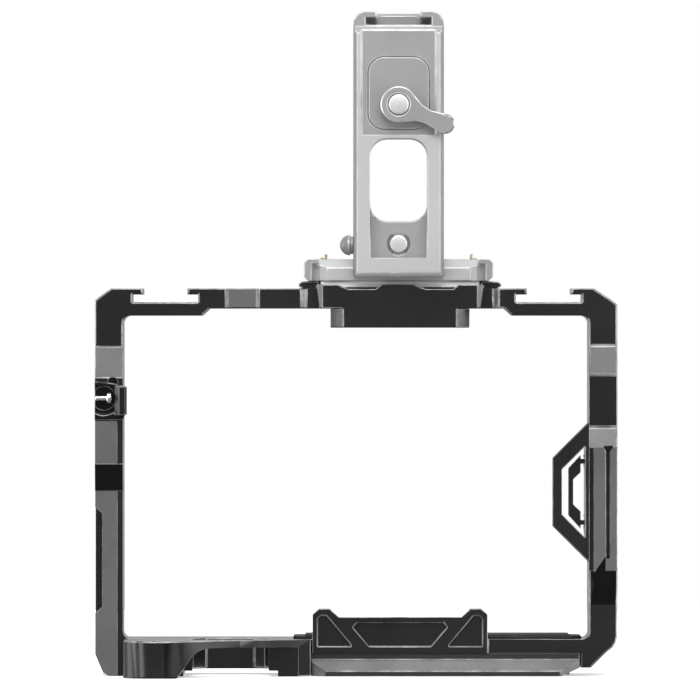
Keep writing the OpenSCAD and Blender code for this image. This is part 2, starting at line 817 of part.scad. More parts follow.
module top_mount() color([0.17, 0.17, 0.18]) {
    half = flange_w / 2;
    side_x = block_w / 2;
    difference() {
        union() {
            along_y([
                [1.2 - half, bar_top], [half - 1.2, bar_top], [half, bar_top + 0.6],
                [half, flange_top - 0.8], [half - 0.9, flange_top], [0.9 - half, flange_top],
                [-half, flange_top - 0.8], [-half, bar_top + 0.6]
            ], -bar_front, bar_front);
            mount_wall();
            along_z([
                [-side_x, bar_front], [-side_x, block_corner - mount_front],
                [block_corner - side_x, -mount_front], [side_x - block_corner, -mount_front],
                [side_x, block_corner - mount_front], [side_x, bar_front]
            ], bar_bottom - block_drop, bar_bottom);
            block([-mount_key_w / 2 + handle_x, -mount_key_w / 2, flange_top - over],
                  [mount_key_w / 2 + handle_x, mount_key_w / 2, flange_top + mount_key_h]);
        }
        // Step behind the scalloped wall
        block([0.6 - mount_wall_w / 2, -bar_front - over, flange_top - step_d],
              [mount_wall_w / 2 - 0.6, step_w - bar_front, flange_top + over]);
        for (p = mount_screw_places)
            translate([p[0], p[1], flange_top]) flat_screw_hole(small_r, mount_screw_l);
        for (side = [-1, 1])
            translate([handle_x + side * pin_x, pin_y, bar_top - over])
                cylinder(r = pin_r + screw_fit, h = flange_t + 2 * over);
    }
}

module top_mount_screws() color("dimgray")
    for (p = mount_screw_places)
        translate([p[0], p[1], flange_top - 0.05])
            difference() {
                flat_screw(small_r, mount_screw_l - 0.1);
                socket(2, 1.1);
            }

// ---- Strap clamp on the grip side ----

module strap_lug_clamp() color([0.1, 0.1, 0.1]) {
    x = -outer_left;
    y = -upright_front;
    face = y - clamp_t;
    pocket = face + clamp_t - clamp_wall;
    difference() {
        union() {
            translate([x, 0, clamp_z])
                along_y([
                    [0, clamp_edge[0]], [clamp_w - 0.9, clamp_edge[0]], [clamp_w, clamp_edge[1]],
                    [clamp_w, clamp_edge[2]], [hook_x[0], clamp_edge[3]], [0, clamp_h - 1.2]
                ], face, y);
            // The hook that reaches over the strap lug
            along_z([
                [x + hook_x[0], face], [x + hook_x[1], face - hook_y[0]], [x + hook_x[2], face - hook_y[1]],
                [x + hook_x[3], face], [x + hook_x[3], y + hook_back], [0.2 - bay_left, y + hook_back],
                [0.2 - bay_left, y], [x + hook_x[0], y]
            ], clamp_z + clamp_edge[1] - 0.7, clamp_z + clamp_edge[2]);
            translate([x + boss_at[0], 0, clamp_z + boss_at[1]]) bar_y(boss_r, y - 2.4, y);
        }
        translate([clamp_pocket_x, 0, clamp_screw_z]) {
            bar_y(clamp_pocket_r, face - 2 * over, pocket);
            translate([0, face - 0.02, 0]) rotate([-90, 0, 0])
                cylinder(r1 = clamp_pocket_r + 1.5, r2 = clamp_pocket_r, h = 1.5);
        }
        block([x - over, face - over, clamp_screw_z - clamp_slot_half],
              [clamp_pocket_x, pocket, clamp_screw_z + clamp_slot_half]);
    }
}

module strap_clamp_screw() color("gainsboro")
    translate([clamp_pocket_x, clamp_screw_y, clamp_screw_z])
        difference() {
            union() {
                bar_x(strap_screw_r, 0.2 - outer_left - clamp_pocket_x, 1);
                bar_x(strap_head_r, 0.9, 0.9 + strap_head_t);
            }
            translate([0.9 + strap_head_t, 0, 0]) rotate([0, 90, 0]) socket(1.3, 0.7);
        }

// ---- Guard plate on the port side ----

module cable_guard() color([0.14, 0.14, 0.14]) {
    half = guard_h / 2;
    edge = half - guard_w;
    left = bay_right - guard_w;
    right = bay_right - guard_foot_t;
    window = guard_window_edge - (right - left - guard_rim);
    difference() {
        union() {
            along_y([
                [bay_right, guard_z - half], [bay_right, guard_z + half], [left, guard_z + edge],
                [left, guard_z - edge]
            ], -guard_front, guard_t - guard_front);
            block([right, -guard_front, guard_z - guard_foot_h / 2],
                  [bay_right, -guard_foot_end, guard_z + guard_foot_h / 2]);
        }
        along_y([
            [right, guard_z - guard_window_edge], [right, guard_z + guard_window_edge],
            [left + guard_rim, guard_z + window], [left + guard_rim, guard_z - window]
        ], -guard_front - over, guard_t - guard_front + over);
        for (side = [-1, 1])
            translate([right, guard_screw_y, guard_z + side * guard_screw_dz])
                rotate([0, -90, 0]) translate([0, 0, -0.05]) guard_screw_hole();
    }
}

// A shallow countersink, because the guard's foot is thin
module guard_screw_hole() {
    translate([0, 0, -guard_foot_t - over]) cylinder(r = small_r + screw_fit, h = guard_foot_t + 2 * over);
    translate([0, 0, -0.9]) cylinder(r1 = small_r + screw_fit, r2 = small_r + 0.9 + screw_fit, h = 0.9);
    cylinder(r = small_r + 0.9 + screw_fit, h = over);
}

module guard_screws() color("dimgray")
    for (side = [-1, 1])
        translate([bay_right - guard_foot_t, guard_screw_y, guard_z + side * guard_screw_dz])
            rotate([0, -90, 0]) difference() {
                union() {
                    translate([0, 0, -guard_screw_l]) cylinder(r = small_r, h = guard_screw_l - 0.1);
                    translate([0, 0, -1]) cylinder(r1 = small_r, r2 = small_r + 0.9, h = 0.9);
                }
                translate([0, 0, -0.1]) socket(1.5, 0.7);
            }

// C-shaped bar behind the guard's window, held by two short tabs
module cable_keeper() color([0.12, 0.12, 0.12]) {
    right = bay_right - guard_foot_t;
    tip = right - keeper_tab_l;
    left = tip - keeper_w;
    difference() {
        union() {
            along_y([
                [tip, guard_z - keeper_half[0]], [tip, guard_z + keeper_half[0]],
                [left, guard_z + keeper_half[1]], [left, guard_z - keeper_half[1]]
            ], guard_t - guard_front, guard_t - guard_front + keeper_t);
            for (side = [-1, 1])
                translate([0, guard_t - guard_front, guard_z + side * keeper_tab_z])
                    block([tip - over, 0, -keeper_tab_half], [right, keeper_t, keeper_tab_half]);
        }
        translate([0, 0, guard_z])
            along_y([
                [tip + over, -keeper_notch_half[0]], [tip + over, keeper_notch_half[0]],
                [tip, keeper_notch_half[0]], [tip - keeper_notch, keeper_notch_half[1]],
                [tip - keeper_notch, -keeper_notch_half[1]], [tip, -keeper_notch_half[0]]
            ], guard_t - guard_front - over, guard_t - guard_front + keeper_t + over);
    }
}

// ---- Hex key ----

key_fit = 0.4;

key_lap = 0.3;
key_swell = 0.05;

// The L-shaped key; the bend is a trace thicker than the two legs
module key_shape() {
    r = key_flats / sqrt(3);
    z = key_z + key_flats / 2;
    translate([key_x + key_bend - key_lap, key_y, z]) rotate([0, 90, 0]) rotate([0, 0, 30])
        cylinder(r = r, h = key_long - key_bend + key_lap, $fn = 6);
    translate([key_x, key_y - key_bend - key_short, z]) rotate([-90, 0, 0])
        cylinder(r = r, h = key_short + key_lap, $fn = 6);
    translate([key_x + key_bend, key_y - key_bend, z]) rotate([0, 0, 90])
        rotate_extrude(angle = 90) translate([key_bend, 0]) circle(r = r + key_swell, $fn = 6);
}

module key_cut(fit) {
    half = key_flats / sqrt(3) + fit;
    top = key_z + key_flats + fit;
    block([key_x - half, key_y - half, -over], [key_x + key_long + fit, key_y + half, top]);
    block([key_x - half, key_y - key_bend - key_short - fit, -over],
          [key_x + half + key_bend, key_y + half, top]);
}

module hex_key() color("silver") key_shape();

module key_magnets() color("gainsboro")
    for (x = magnet_places)
        translate([x, key_y, key_z + key_flats + key_fit + 0.1])
            cylinder(r = magnet_r, h = magnet_h - key_fit);

// ---- Handle ----

// Points of an arc in an outline, from angle a to angle b
function arc(center, r, a, b, n) =
    [for (i = [0 : n]) center + r * [cos(a + (b - a) * i / n), sin(a + (b - a) * i / n)]];

foot_front = 15;
foot_back = 17;
foot_face = foot_front - 2;

module handle_foot() color([0.74, 0.74, 0.75]) {
    half = handle_base_w / 2;
    end = 4.2;
    // Tongue that drops into the step behind the mount's scalloped wall
    block([1.1 - mount_wall_w / 2, 0.1 - bar_front, flange_top - step_d + 0.3],
          [mount_wall_w / 2 - 1.1, step_w - 0.3 - bar_front, handle_z + 0.5]);
    translate([handle_x, 0, 0]) difference() {
        along_y([
            [1.2 - half, handle_z], [half - 1.2, handle_z], [half, handle_z + 1.2],
            [half, handle_base_top - 1.1], [half - 1.1, handle_base_top], [1.1 - half, handle_base_top],
            [-half, handle_base_top - 1.1], [-half, handle_z + 1.2]
        ], -foot_front, foot_back);
        // Sunk front face between the two ends, with a slanted top edge
        along_x([
            [-foot_front - over, handle_z - over], [-foot_face, handle_z - over],
            [-foot_face, handle_base_top - 2.4], [2.2 - foot_face, handle_base_top],
            [2.2 - foot_face, handle_base_top + over], [-foot_front - over, handle_base_top + over]
        ], end - half, half - end);
        for (side = [-1, 1])
            translate([side * (half - end - 0.6), -foot_front, handle_z - over])
                cylinder(r = 2.6, h = handle_base_t - 1.2 + over);
        // Seat for the mount's key
        block([-mount_key_w / 2 - pass_gap, -mount_key_w / 2 - pass_gap, handle_z - over],
              [mount_key_w / 2 + pass_gap, mount_key_w / 2 + pass_gap, handle_z + mount_key_h + pass_gap]);
        // Lock pins with their springs
        for (side = [-1, 1])
            translate([side * pin_x, pin_y, 0]) {
                cylinder_between(pin_r + running_fit, handle_z - over, handle_base_top + over);
                cylinder_between(pin_collar_r + pass_gap, handle_z - over, handle_base_top - 0.9);
            }
        for (side = [-1, 1])
            translate([side * foot_screw_x, foot_screw_y, handle_z])
                mirror([0, 0, 1]) flat_screw_hole(small_r, handle_base_t + 5);
    }
}

pin_y = -9;
pin_collar_r = 2.3;
pin_collar_z = handle_z + 0.6;
pin_collar_t = 0.9;
foot_screw_x = handle_w / 2 - 2.95;
foot_screw_y = -1;

module handle_foot_screws() color("dimgray")
    for (side = [-1, 1])
        translate([handle_x + side * foot_screw_x, foot_screw_y, handle_z + 0.05]) mirror([0, 0, 1])
            difference() {
                flat_screw(small_r, handle_base_t + 4.8);
                socket(2, 1.1);
            }

module handle_side_outline() {
    f = -handle_front;
    back = post_depth - handle_front;
    top = handle_top - 1;
    r = 8;
    nose = grip_h / 2 - 0.5;
    along_x(concat(
        [[-foot_face - 0.3, post_foot_z], [f + 1, post_foot_z], [f, post_foot_z + 1],
         [f, handle_top - 6.2], [f + 1.8, handle_top - 4.3], [f + 1.8, handle_top],
         [f + 1.8 + shoe_len, handle_top], [f + 3.4 + shoe_len, top]],
        arc([handle_back - nose, top - nose], nose, 90, -90, 10),
        [[handle_back - nose - 6, top - grip_h + 0.4], [handle_back - nose - 14, top - grip_h + 1.8],
         [handle_back - nose - 30, top - grip_h + 1]],
        arc([back + r, top - grip_h - r], r, 90, 180, 6),
        [[back, handle_base_top], [-foot_face - 0.3, handle_base_top]]
    ), -handle_w / 2, handle_w / 2);
}

module handle_body() color([0.74, 0.74, 0.75]) {
    half = handle_w / 2;
    f = -handle_front;
    y = [f - over, handle_back + over];
    seat = 0.2;
    translate([handle_x, 0, 0]) difference() {
        handle_side_outline();
        // Long edges rounded, top and bottom
        for (side = [0, 1]) mirror([side, 0, 0]) {
            difference() {
                block([half - edge_r, y[0], handle_top - edge_r], [half + over, y[1], handle_top + over]);
                translate([half - edge_r, 0, handle_top - edge_r]) bar_y(edge_r, y[0] - over, y[1] + over);
            }
            difference() {
                block([half - under_r, post_depth - handle_front + 9, grip_under - under_r],
                      [half + over, y[1], grip_under + 6]);
                translate([half - under_r, 0, grip_under + 6]) bar_y(under_r, 0, y[1] + over);
                block([0, 0, grip_under - 6], [half - under_r, y[1] + over, grip_under + 8]);
            }
            along_z([
                [half - front_bevel, f - over], [half - front_bevel, f], [half, f + front_bevel],
                [half + over, f + front_bevel], [half + over, f - over]
            ], post_foot_z - over, handle_top + over);
        }
        // Sunk front of the head, window, and the pocket below it
        block([head_rim - half, f - over, handle_head_z],
              [half - head_rim, f + head_recess, handle_top - head_top_rim]);
        translate([0, 0, window_z])
            round_plate(window_w, window_h, window_r, f - over, post_depth - handle_front + over);
        block([-window_w / 2, f - over, pocket_z], [window_w / 2, f + pocket_d, window_z + 6]);
        translate([0, 0, handle_top - shoe_lip - shoe_h]) shoe_cut(f - over, f + 1.8 + shoe_len);
        // Lock plate's seat and the lever screw's hole
        translate([0, 0, plate_z - seat]) round_plate(plate_w + 2 * seat, plate_h + 2 * seat,
            plate_round + seat, f - over, f + head_recess + plate_sink);
        translate([0, 0, lever_z]) bar_y(small_r + running_fit, f, f + 14);
        translate([0, 0, post_screw_z]) {
            bar_y(small_r + screw_fit, f + pocket_d - over, f + pocket_d + 8);
            translate([0, f + pocket_d, 0]) rotate([-90, 0, 0]) cylinder(r1 = 3.5, r2 = 2.6, h = 1);
        }
        for (side = [-1, 1])
            translate([side * foot_screw_x, foot_screw_y, handle_base_top - over])
                cylinder(r = small_r + screw_fit, h = 5.2 + over);
        // Release button's bore and counterbore
        translate([0, button_y, button_z]) {
            bar_x(button_stem_r + running_fit, -half - over, button_cavity[1] + button_press + 1 - half);
            bar_x(button_r + pass_gap, -half - over, button_press + 0.5 - half);
            bar_x(pin_collar_r + pass_gap, button_cavity[0] - half, button_cavity[1] - half);
        }
        for (side = [0, 1]) mirror([side, 0, 0])
            block([half - pad_d, pad_y[0], grip_under + pad_low],
                  [half + over, pad_y[1], handle_top - pad_high]);
        for (p = grip_thread_places)
            translate([0, p, handle_top - 12]) cylinder(r = quarter_tap_r, h = 12 + over);
    }
}

grip_thread_places = [26, 52];

module grip_pads() color([0.13, 0.13, 0.13]) {
    low = [pad_y[0] + seat_gap, grip_under + pad_low + seat_gap];
    high = [pad_y[1] - seat_gap, handle_top - pad_high - seat_gap];
    for (side = [0, 1])
        translate([handle_x, 0, 0]) mirror([side, 0, 0])
            along_x(cut_box(low, high, 1.5), handle_w / 2 - pad_d, handle_w / 2 - 0.1);
}

module post_screw() color([0.88, 0.88, 0.88])
    translate([handle_x, pocket_d - handle_front, post_screw_z]) {
        bar_y(2.4, -0.6, 0.9);
        bar_y(small_r, 0, 7.6);
    }

module shoe_stop() color([0.85, 0.85, 0.85]) {
    y = 1.8 + shoe_len - handle_front;
    translate([handle_x, 0, handle_top - shoe_lip - shoe_h]) {
        along_y([
            [-stop_half, 0], [stop_half, 0], [stop_half, stop_h - 0.9], [stop_half - 1.2, stop_h],
            [1.2 - stop_half, stop_h], [-stop_half, stop_h - 0.9]
        ], y - 3, y - 1);
    }
}

module lock_plate() color([0.64, 0.64, 0.64])
    translate([handle_x, 0, plate_z]) difference() {
        round_plate(plate_w, plate_h, plate_round, head_recess - handle_front - plate_proud,
            head_recess - handle_front + plate_sink);
        translate([0, 0, lever_z - plate_z])
            bar_y(small_r + screw_fit, -handle_front - over, over - handle_front + head_recess + plate_sink);
    }

lever_y = -handle_front - pass_gap - lever_t;
lever_boss = head_recess - plate_proud + pass_gap - seat_gap;
lever_shape = [[3.2, 4], [6.2, 2.5], [9, 2]];

module lock_lever() color([0.66, 0.66, 0.66])
    translate([handle_x, lever_y + lever_t, lever_z]) rotate([90, 0, 0]) difference() {
        union() {
            linear_extrude(lever_t) {
                circle(r = lever_hub_r);
                rotate(-lever_fall) {
                    translate([lever_reach, 0]) circle(r = lever_tip_r);
                    polygon(concat(
                        [[0, 0.3 - lever_hub_r]], [for (p = lever_shape) [p[0], -p[1]]],
                        [[lever_reach, -lever_tip_r], [lever_reach, lever_tip_r]],
                        [for (i = [2 : -1 : 0]) lever_shape[i]], [[0, lever_hub_r - 0.3]]
                    ));
                }
            }
            // Boss that bears on the lock plate
            cylinder_between(lever_hub_r - 0.6, -lever_boss, over);
        }
        translate([0, 0, -lever_boss - over])
            cylinder(r = small_r + screw_fit, h = lever_t + lever_boss + 2 * over);
        translate([0, 0, lever_t - 1]) cylinder(r = lever_screw_r + 0.3, h = 1 + over);
    }

module lever_screw() color([0.88, 0.88, 0.88])
    translate([handle_x, lever_y, lever_z]) {
        bar_y(lever_screw_r, -0.3, 1);
        bar_y(small_r, 0, lever_screw_l);
    }

module lock_pins() color([0.86, 0.72, 0.42])
    for (side = [-1, 1])
        translate([handle_x + side * pin_x, pin_y, 0]) {
            cylinder_between(pin_r, bar_top - pin_sink, handle_base_top + pin_head);
            cylinder_between(pin_collar_r, pin_collar_z, pin_collar_z + pin_collar_t);
        }

// Wound spring of a few turns, drawn upwards from z = 0
module coil(r, wire, length, turns) {
    sides = 6;
    steps = 12 * turns;
    pitch = (length - 2 * wire) / turns;
    points = [
        for (i = [0 : steps], j = [0 : sides - 1])
            let (a = 360 * turns * i / steps, b = 360 * j / sides, reach = r + wire * cos(b))
                [reach * cos(a), reach * sin(a), wire + pitch * a / 360 + wire * sin(b)]
    ];
    walls = [
        for (i = [0 : steps - 1], j = [0 : sides - 1])
            let (n = (j + 1) % sides, k = i * sides)
                [k + j, k + n, k + n + sides, k + j + sides]
    ];
    ends = [[for (j = [sides - 1 : -1 : 0]) j], [for (j = [0 : sides - 1]) steps * sides + j]];
    polyhedron(points, concat(walls, ends));
}

module pin_springs() color("silver")
    for (side = [-1, 1])
        translate([handle_x + side * pin_x, pin_y, pin_collar_z + pin_collar_t + 0.1])
            coil(spring_r, spring_wire, handle_base_top - 0.9 - pin_collar_z - pin_collar_t - 0.2, 3);

module release_button() color([0.62, 0.62, 0.62]) {
    side = handle_x - handle_w / 2;
    face = side - button_proud;
    translate([0, button_y, button_z]) {
        intersection() {
            translate([face, 0, 0]) sphere(r = button_r);
            block([face - button_r - over, -button_r - over, -button_r - over],
                  [face, button_r + over, button_r + over]);
        }
        bar_x(button_r - 0.4, face - 0.1, side);
        bar_x(button_stem_r, face, side + button_cavity[1] + 0.4);
        bar_x(pin_collar_r, side + button_cavity[0] + 0.1, side + button_cavity[0] + 0.8);
    }
}

module button_spring() color("silver")
    translate([handle_x - handle_w / 2 + button_cavity[0] + 0.9, button_y, button_z]) rotate([0, 90, 0])
        coil(spring_r, spring_wire, button_cavity[1] - button_cavity[0] - 1, 2);

main_frame();
quick_release_foot();
foot_screws();
camera_screw();
camera_screw_ring();
floor_pads();
lip_pad();
top_mount();
top_mount_screws();
strap_lug_clamp();
strap_clamp_screw();
cable_guard();
cable_keeper();
guard_screws();
hex_key();
key_magnets();
handle_foot();
handle_foot_screws();
handle_body();
post_screw();
grip_pads();
shoe_stop();
lock_plate();
lock_lever();
lever_screw();
lock_pins();
pin_springs();
release_button();
button_spring();
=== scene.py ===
"""Camera cage with a lift-off top handle: finishes, edges, fasteners, rubber and studio."""

import math

import bmesh
import bpy
from mathutils import Matrix, Vector
from mathutils.bvhtree import BVHTree


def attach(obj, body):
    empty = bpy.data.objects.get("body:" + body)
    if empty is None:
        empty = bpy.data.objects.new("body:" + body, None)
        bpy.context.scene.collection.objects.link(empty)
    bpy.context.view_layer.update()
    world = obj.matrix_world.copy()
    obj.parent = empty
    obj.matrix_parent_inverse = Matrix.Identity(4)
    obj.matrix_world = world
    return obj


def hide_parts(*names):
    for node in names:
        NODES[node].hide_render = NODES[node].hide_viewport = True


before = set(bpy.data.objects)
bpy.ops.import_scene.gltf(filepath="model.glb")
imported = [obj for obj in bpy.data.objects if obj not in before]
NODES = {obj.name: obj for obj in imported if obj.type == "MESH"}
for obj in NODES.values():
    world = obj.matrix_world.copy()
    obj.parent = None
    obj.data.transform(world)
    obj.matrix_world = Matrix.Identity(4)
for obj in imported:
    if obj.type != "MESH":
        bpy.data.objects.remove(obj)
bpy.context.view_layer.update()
MM = 0.001

# ---- Places and sizes shared with the frame, in millimetres ----
HANDLE_X = -0.4
HANDLE_Z = 111.4
FLANGE_TOP = 111.3
LEVER_Z = 161.0
POST_SCREW_Z = 121.8
PIN_SIDE, PIN_Y = 21.6, -9
CAMERA_PITCH = 1.27
SMALL_TAP, LARGE_TAP = (2.55, CAMERA_PITCH), (4.0, 1.5875)

# ---- Limits of the mesh work, in metres and square metres ----
WELD = 2e-6  # corners nearer than this are one
SLIVER = 1e-11  # faces smaller than this have no sure direction
SAME_WAY, SAME_PLANE = 0.998, 0.04 * MM  # how alike faces of one flat patch are
AREA_MISS = 0.06  # share of its area that a patch may miss when it is filled afresh
PROUD = 0.015 * MM  # how far a corner may stand off the solid

# ---- Turns ----
UPRIGHT = (0.0, 0.0, 0.0)
DOWN = (math.pi, 0.0, 0.0)
ALONG_X = (0.0, math.pi / 2, 0.0)
INWARDS = (0.0, -math.pi / 2, 0.0)


# ---- Node helpers ----
def add(tree, kind, inputs=None, **props):
    """A node with its properties set, and its inputs set or linked."""
    made = tree.nodes.new(kind)
    for key, value in props.items():
        setattr(made, key, value)
    for key, value in (inputs or {}).items():
        if isinstance(value, bpy.types.NodeSocket):
            tree.links.new(value, made.inputs[key])
        else:
            made.inputs[key].default_value = value
    return made


def math_node(tree, operation, a, b=0.0, clamp=False):
    return add(tree, "ShaderNodeMath", {0: a, 1: b}, operation=operation, use_clamp=clamp).outputs[0]


def times(tree, a, b):
    return math_node(tree, "MULTIPLY", a, b)


def plus(tree, a, b):
    return math_node(tree, "ADD", a, b)


def own_place(tree):
    """Object coordinates, so that a pattern stays with its piece."""
    return add(tree, "ShaderNodeTexCoord").outputs["Object"]


def ramp(tree, value, low, high, to_low=0.0, to_high=1.0):
    made = add(tree, "ShaderNodeMapRange", {0: value, 1: low, 2: high, 3: to_low, 4: to_high},
               interpolation_type="SMOOTHSTEP")
    return made.outputs[0]


def noise(tree, vector, scale, detail=2.0, roughness=0.55):
    return add(tree, "ShaderNodeTexNoise", {"Vector": vector, "Scale": scale, "Detail": detail,
                                            "Roughness": roughness}).outputs["Fac"]


def shader_group(name, inputs, outputs):
    tree = bpy.data.node_groups.new(name, "ShaderNodeTree")
    for label, value in inputs:
        kind = "NodeSocketVector" if isinstance(value, tuple) else "NodeSocketFloat"
        tree.interface.new_socket(label, in_out="INPUT", socket_type=kind).default_value = value
    for label in outputs:
        tree.interface.new_socket(label, in_out="OUTPUT", socket_type="NodeSocketFloat")
    return tree, tree.nodes.new("NodeGroupInput").outputs, tree.nodes.new("NodeGroupOutput").inputs


# ---- Effects that several finishes share ----
def blast_group():
    """Bead-blasted skin: fine pits, and the slow drift of tone that anodising leaves."""
    tree, given, out = shader_group("bead_blast", [("Scale", 5200.0)], ["Height", "Tone"])
    place = own_place(tree)
    fine = noise(tree, place, given["Scale"], 3.0, 0.6)
    coarse = noise(tree, place, times(tree, given["Scale"], 0.16), 2.0)
    tree.links.new(plus(tree, fine, times(tree, coarse, 0.5)), out["Height"])
    tree.links.new(ramp(tree, noise(tree, place, 38.0, 3.0), 0.34, 0.66), out["Tone"])
    return tree


def handling_group():
    """Smudges of handling and fine hairline marks."""
    tree, given, out = shader_group("handling", [("Scale", 60.0)], ["Smudge", "Hairlines"])
    place = own_place(tree)
    tree.links.new(ramp(tree, noise(tree, place, given["Scale"], 4.0, 0.6), 0.46, 0.68), out["Smudge"])
    turned = add(tree, "ShaderNodeMapping", {"Vector": place, "Rotation": (0.3, 0.5, 0.2),
                                             "Scale": (60.0, 900.0, 2600.0)}).outputs[0]
    tree.links.new(ramp(tree, noise(tree, turned, 1.0, 1.0), 0.7, 0.76), out["Hairlines"])
    return tree


def rub_group():
    """Where an edge is rubbed: patches along it."""
    tree, given, out = shader_group("edge_rub", [("Scale", 190.0)], ["Rub"])
    place = own_place(tree)
    tree.links.new(ramp(tree, noise(tree, place, given["Scale"], 5.0, 0.65), 0.36, 0.66), out["Rub"])
    return tree


def dust_group():
    """Thin dust on what faces up."""
    tree, given, out = shader_group("dust", [("Amount", 0.1)], ["Dust"])
    place = own_place(tree)
    facing = add(tree, "ShaderNodeSeparateXYZ", {0: add(tree, "ShaderNodeNewGeometry").outputs["Normal"]})
    up = ramp(tree, facing.outputs["Z"], 0.65, 0.98)
    specks = ramp(tree, noise(tree, place, 900.0, 4.0, 0.7), 0.52, 0.72)
    veil = ramp(tree, noise(tree, place, 70.0, 3.0), 0.3, 0.8, 0.25, 1.0)
    both = times(tree, plus(tree, specks, 0.35), veil)
    amount = times(tree, given["Amount"], up)
    tree.links.new(math_node(tree, "MULTIPLY", both, amount, True), out["Dust"])
    return tree


def turning_group():
    """Rings that a lathe tool leaves round an axis through Centre; Across masks the plane of the rings."""
    tree, given, out = shader_group("turning", [("Centre", (0.0, 0.0, 0.0)), ("Across", (1.0, 1.0, 0.0)),
                                                ("Scale", 5200.0)], ["Height"])
    place = own_place(tree)
    off = add(tree, "ShaderNodeVectorMath", {0: place, 1: given["Centre"]}, operation="SUBTRACT").outputs[0]
    flat = add(tree, "ShaderNodeVectorMath", {0: off, 1: given["Across"]}, operation="MULTIPLY").outputs[0]
    away = add(tree, "ShaderNodeVectorMath", {0: flat}, operation="LENGTH").outputs["Value"]
    rings = add(tree, "ShaderNodeTexNoise", {"W": away, "Scale": given["Scale"], "Detail": 2.0},
                noise_dimensions="1D").outputs["Fac"]
    tree.links.new(rings, out["Height"])
    return tree


GROUPS = {
    "bead_blast": blast_group(), "handling": handling_group(), "edge_rub": rub_group(),
    "dust": dust_group(), "turning": turning_group(),
}


def effect(tree, name, **inputs):
    return add(tree, "ShaderNodeGroup", inputs, node_tree=GROUPS[name]).outputs


def mixed(tree, factor, a, b):
    """Colour from a to b by factor."""
    a, b = (c if isinstance(c, bpy.types.NodeSocket) else (*c, 1.0) for c in (a, b))
    return add(tree, "ShaderNodeMix", {0: factor, 6: a, 7: b}, data_type="RGBA").outputs[2]


def finish_material(name):
    material = bpy.data.materials.new(name)
    material.use_nodes = True
    tree = material.node_tree
    return material, tree, tree.nodes["Principled BSDF"]


# ---- Finishes ----
def anodised(name, dark, light, metallic, rough, specular=0.5, rubbed=None, rub=0.0, dust=0.06,
             grain=5200.0, pit=0.00001, bump=0.35):
    """Bead-blasted anodised aluminium. rubbed is the tone that shows through where edges are worn."""
    material, tree, skin = finish_material(name)
    blast = effect(tree, "bead_blast", Scale=grain)
    hand = effect(tree, "handling", Scale=55.0)
    colour = mixed(tree, blast["Tone"], dark, light)
    if rubbed is not None:
        worn = times(tree, effect(tree, "edge_rub", Scale=190.0)["Rub"], rub)
        colour = mixed(tree, worn, colour, rubbed)
    if dust:
        colour = mixed(tree, effect(tree, "dust", Amount=dust)["Dust"], colour, (0.62, 0.6, 0.57))
    tree.links.new(colour, skin.inputs["Base Color"])
    speck = times(tree, blast["Height"], 0.06)
    smudge = times(tree, hand["Smudge"], 0.05)
    hair = times(tree, hand["Hairlines"], -0.07)
    roughness = plus(tree, plus(tree, speck, smudge), plus(tree, hair, rough))
    tree.links.new(roughness, skin.inputs["Roughness"])
    skin.inputs["Metallic"].default_value = metallic
    skin.inputs["Specular IOR Level"].default_value = specular
    relief = add(tree, "ShaderNodeBump", {"Height": blast["Height"], "Distance": pit, "Strength": bump})
    tree.links.new(relief.outputs[0], skin.inputs["Normal"])
    return material


def steel(name, tone, rough, centre=(0, 0, 0), across=(1, 1, 0), ring_depth=0.000006, scale=5200.0):
    """Turned steel with tool rings about its axis."""
    material, tree, skin = finish_material(name)
    hand = effect(tree, "handling", Scale=120.0)
    rings = effect(tree, "turning", Centre=tuple(c * MM for c in centre), Across=across, Scale=scale)
    colour = mixed(tree, hand["Smudge"], tone, tuple(c * 0.82 for c in tone))
    tree.links.new(colour, skin.inputs["Base Color"])
    drift = times(tree, hand["Smudge"], 0.1)
    line = times(tree, rings["Height"], 0.12)
    tree.links.new(plus(tree, plus(tree, drift, line), rough), skin.inputs["Roughness"])
    skin.inputs["Metallic"].default_value = 1.0
    relief = add(tree, "ShaderNodeBump", {"Height": rings["Height"], "Distance": ring_depth, "Strength": 0.5})
    tree.links.new(relief.outputs[0], skin.inputs["Normal"])
    return material


def rubber(name, tone, dust=0.12):
    """Matt moulded rubber with a fine leathery grain and some lint."""
    material, tree, skin = finish_material(name)
    place = own_place(tree)
    cells = add(tree, "ShaderNodeTexVoronoi", {"Vector": place, "Scale": 2100.0},
                feature="SMOOTH_F1").outputs["Distance"]
    drift = ramp(tree, noise(tree, place, 90.0, 3.0), 0.3, 0.7)
    colour = mixed(tree, drift, tuple(c * 0.75 for c in tone), tuple(c * 1.2 for c in tone))
    colour = mixed(tree, effect(tree, "dust", Amount=dust)["Dust"], colour, (0.5, 0.48, 0.45))
    tree.links.new(colour, skin.inputs["Base Color"])
    tree.links.new(ramp(tree, cells, 0.0, 0.8, 0.62, 0.82), skin.inputs["Roughness"])
    skin.inputs["Specular IOR Level"].default_value = 0.35
    relief = add(tree, "ShaderNodeBump", {"Height": cells, "Distance": 0.00004, "Strength": 0.5})
    tree.links.new(relief.outputs[0], skin.inputs["Normal"])
    return material


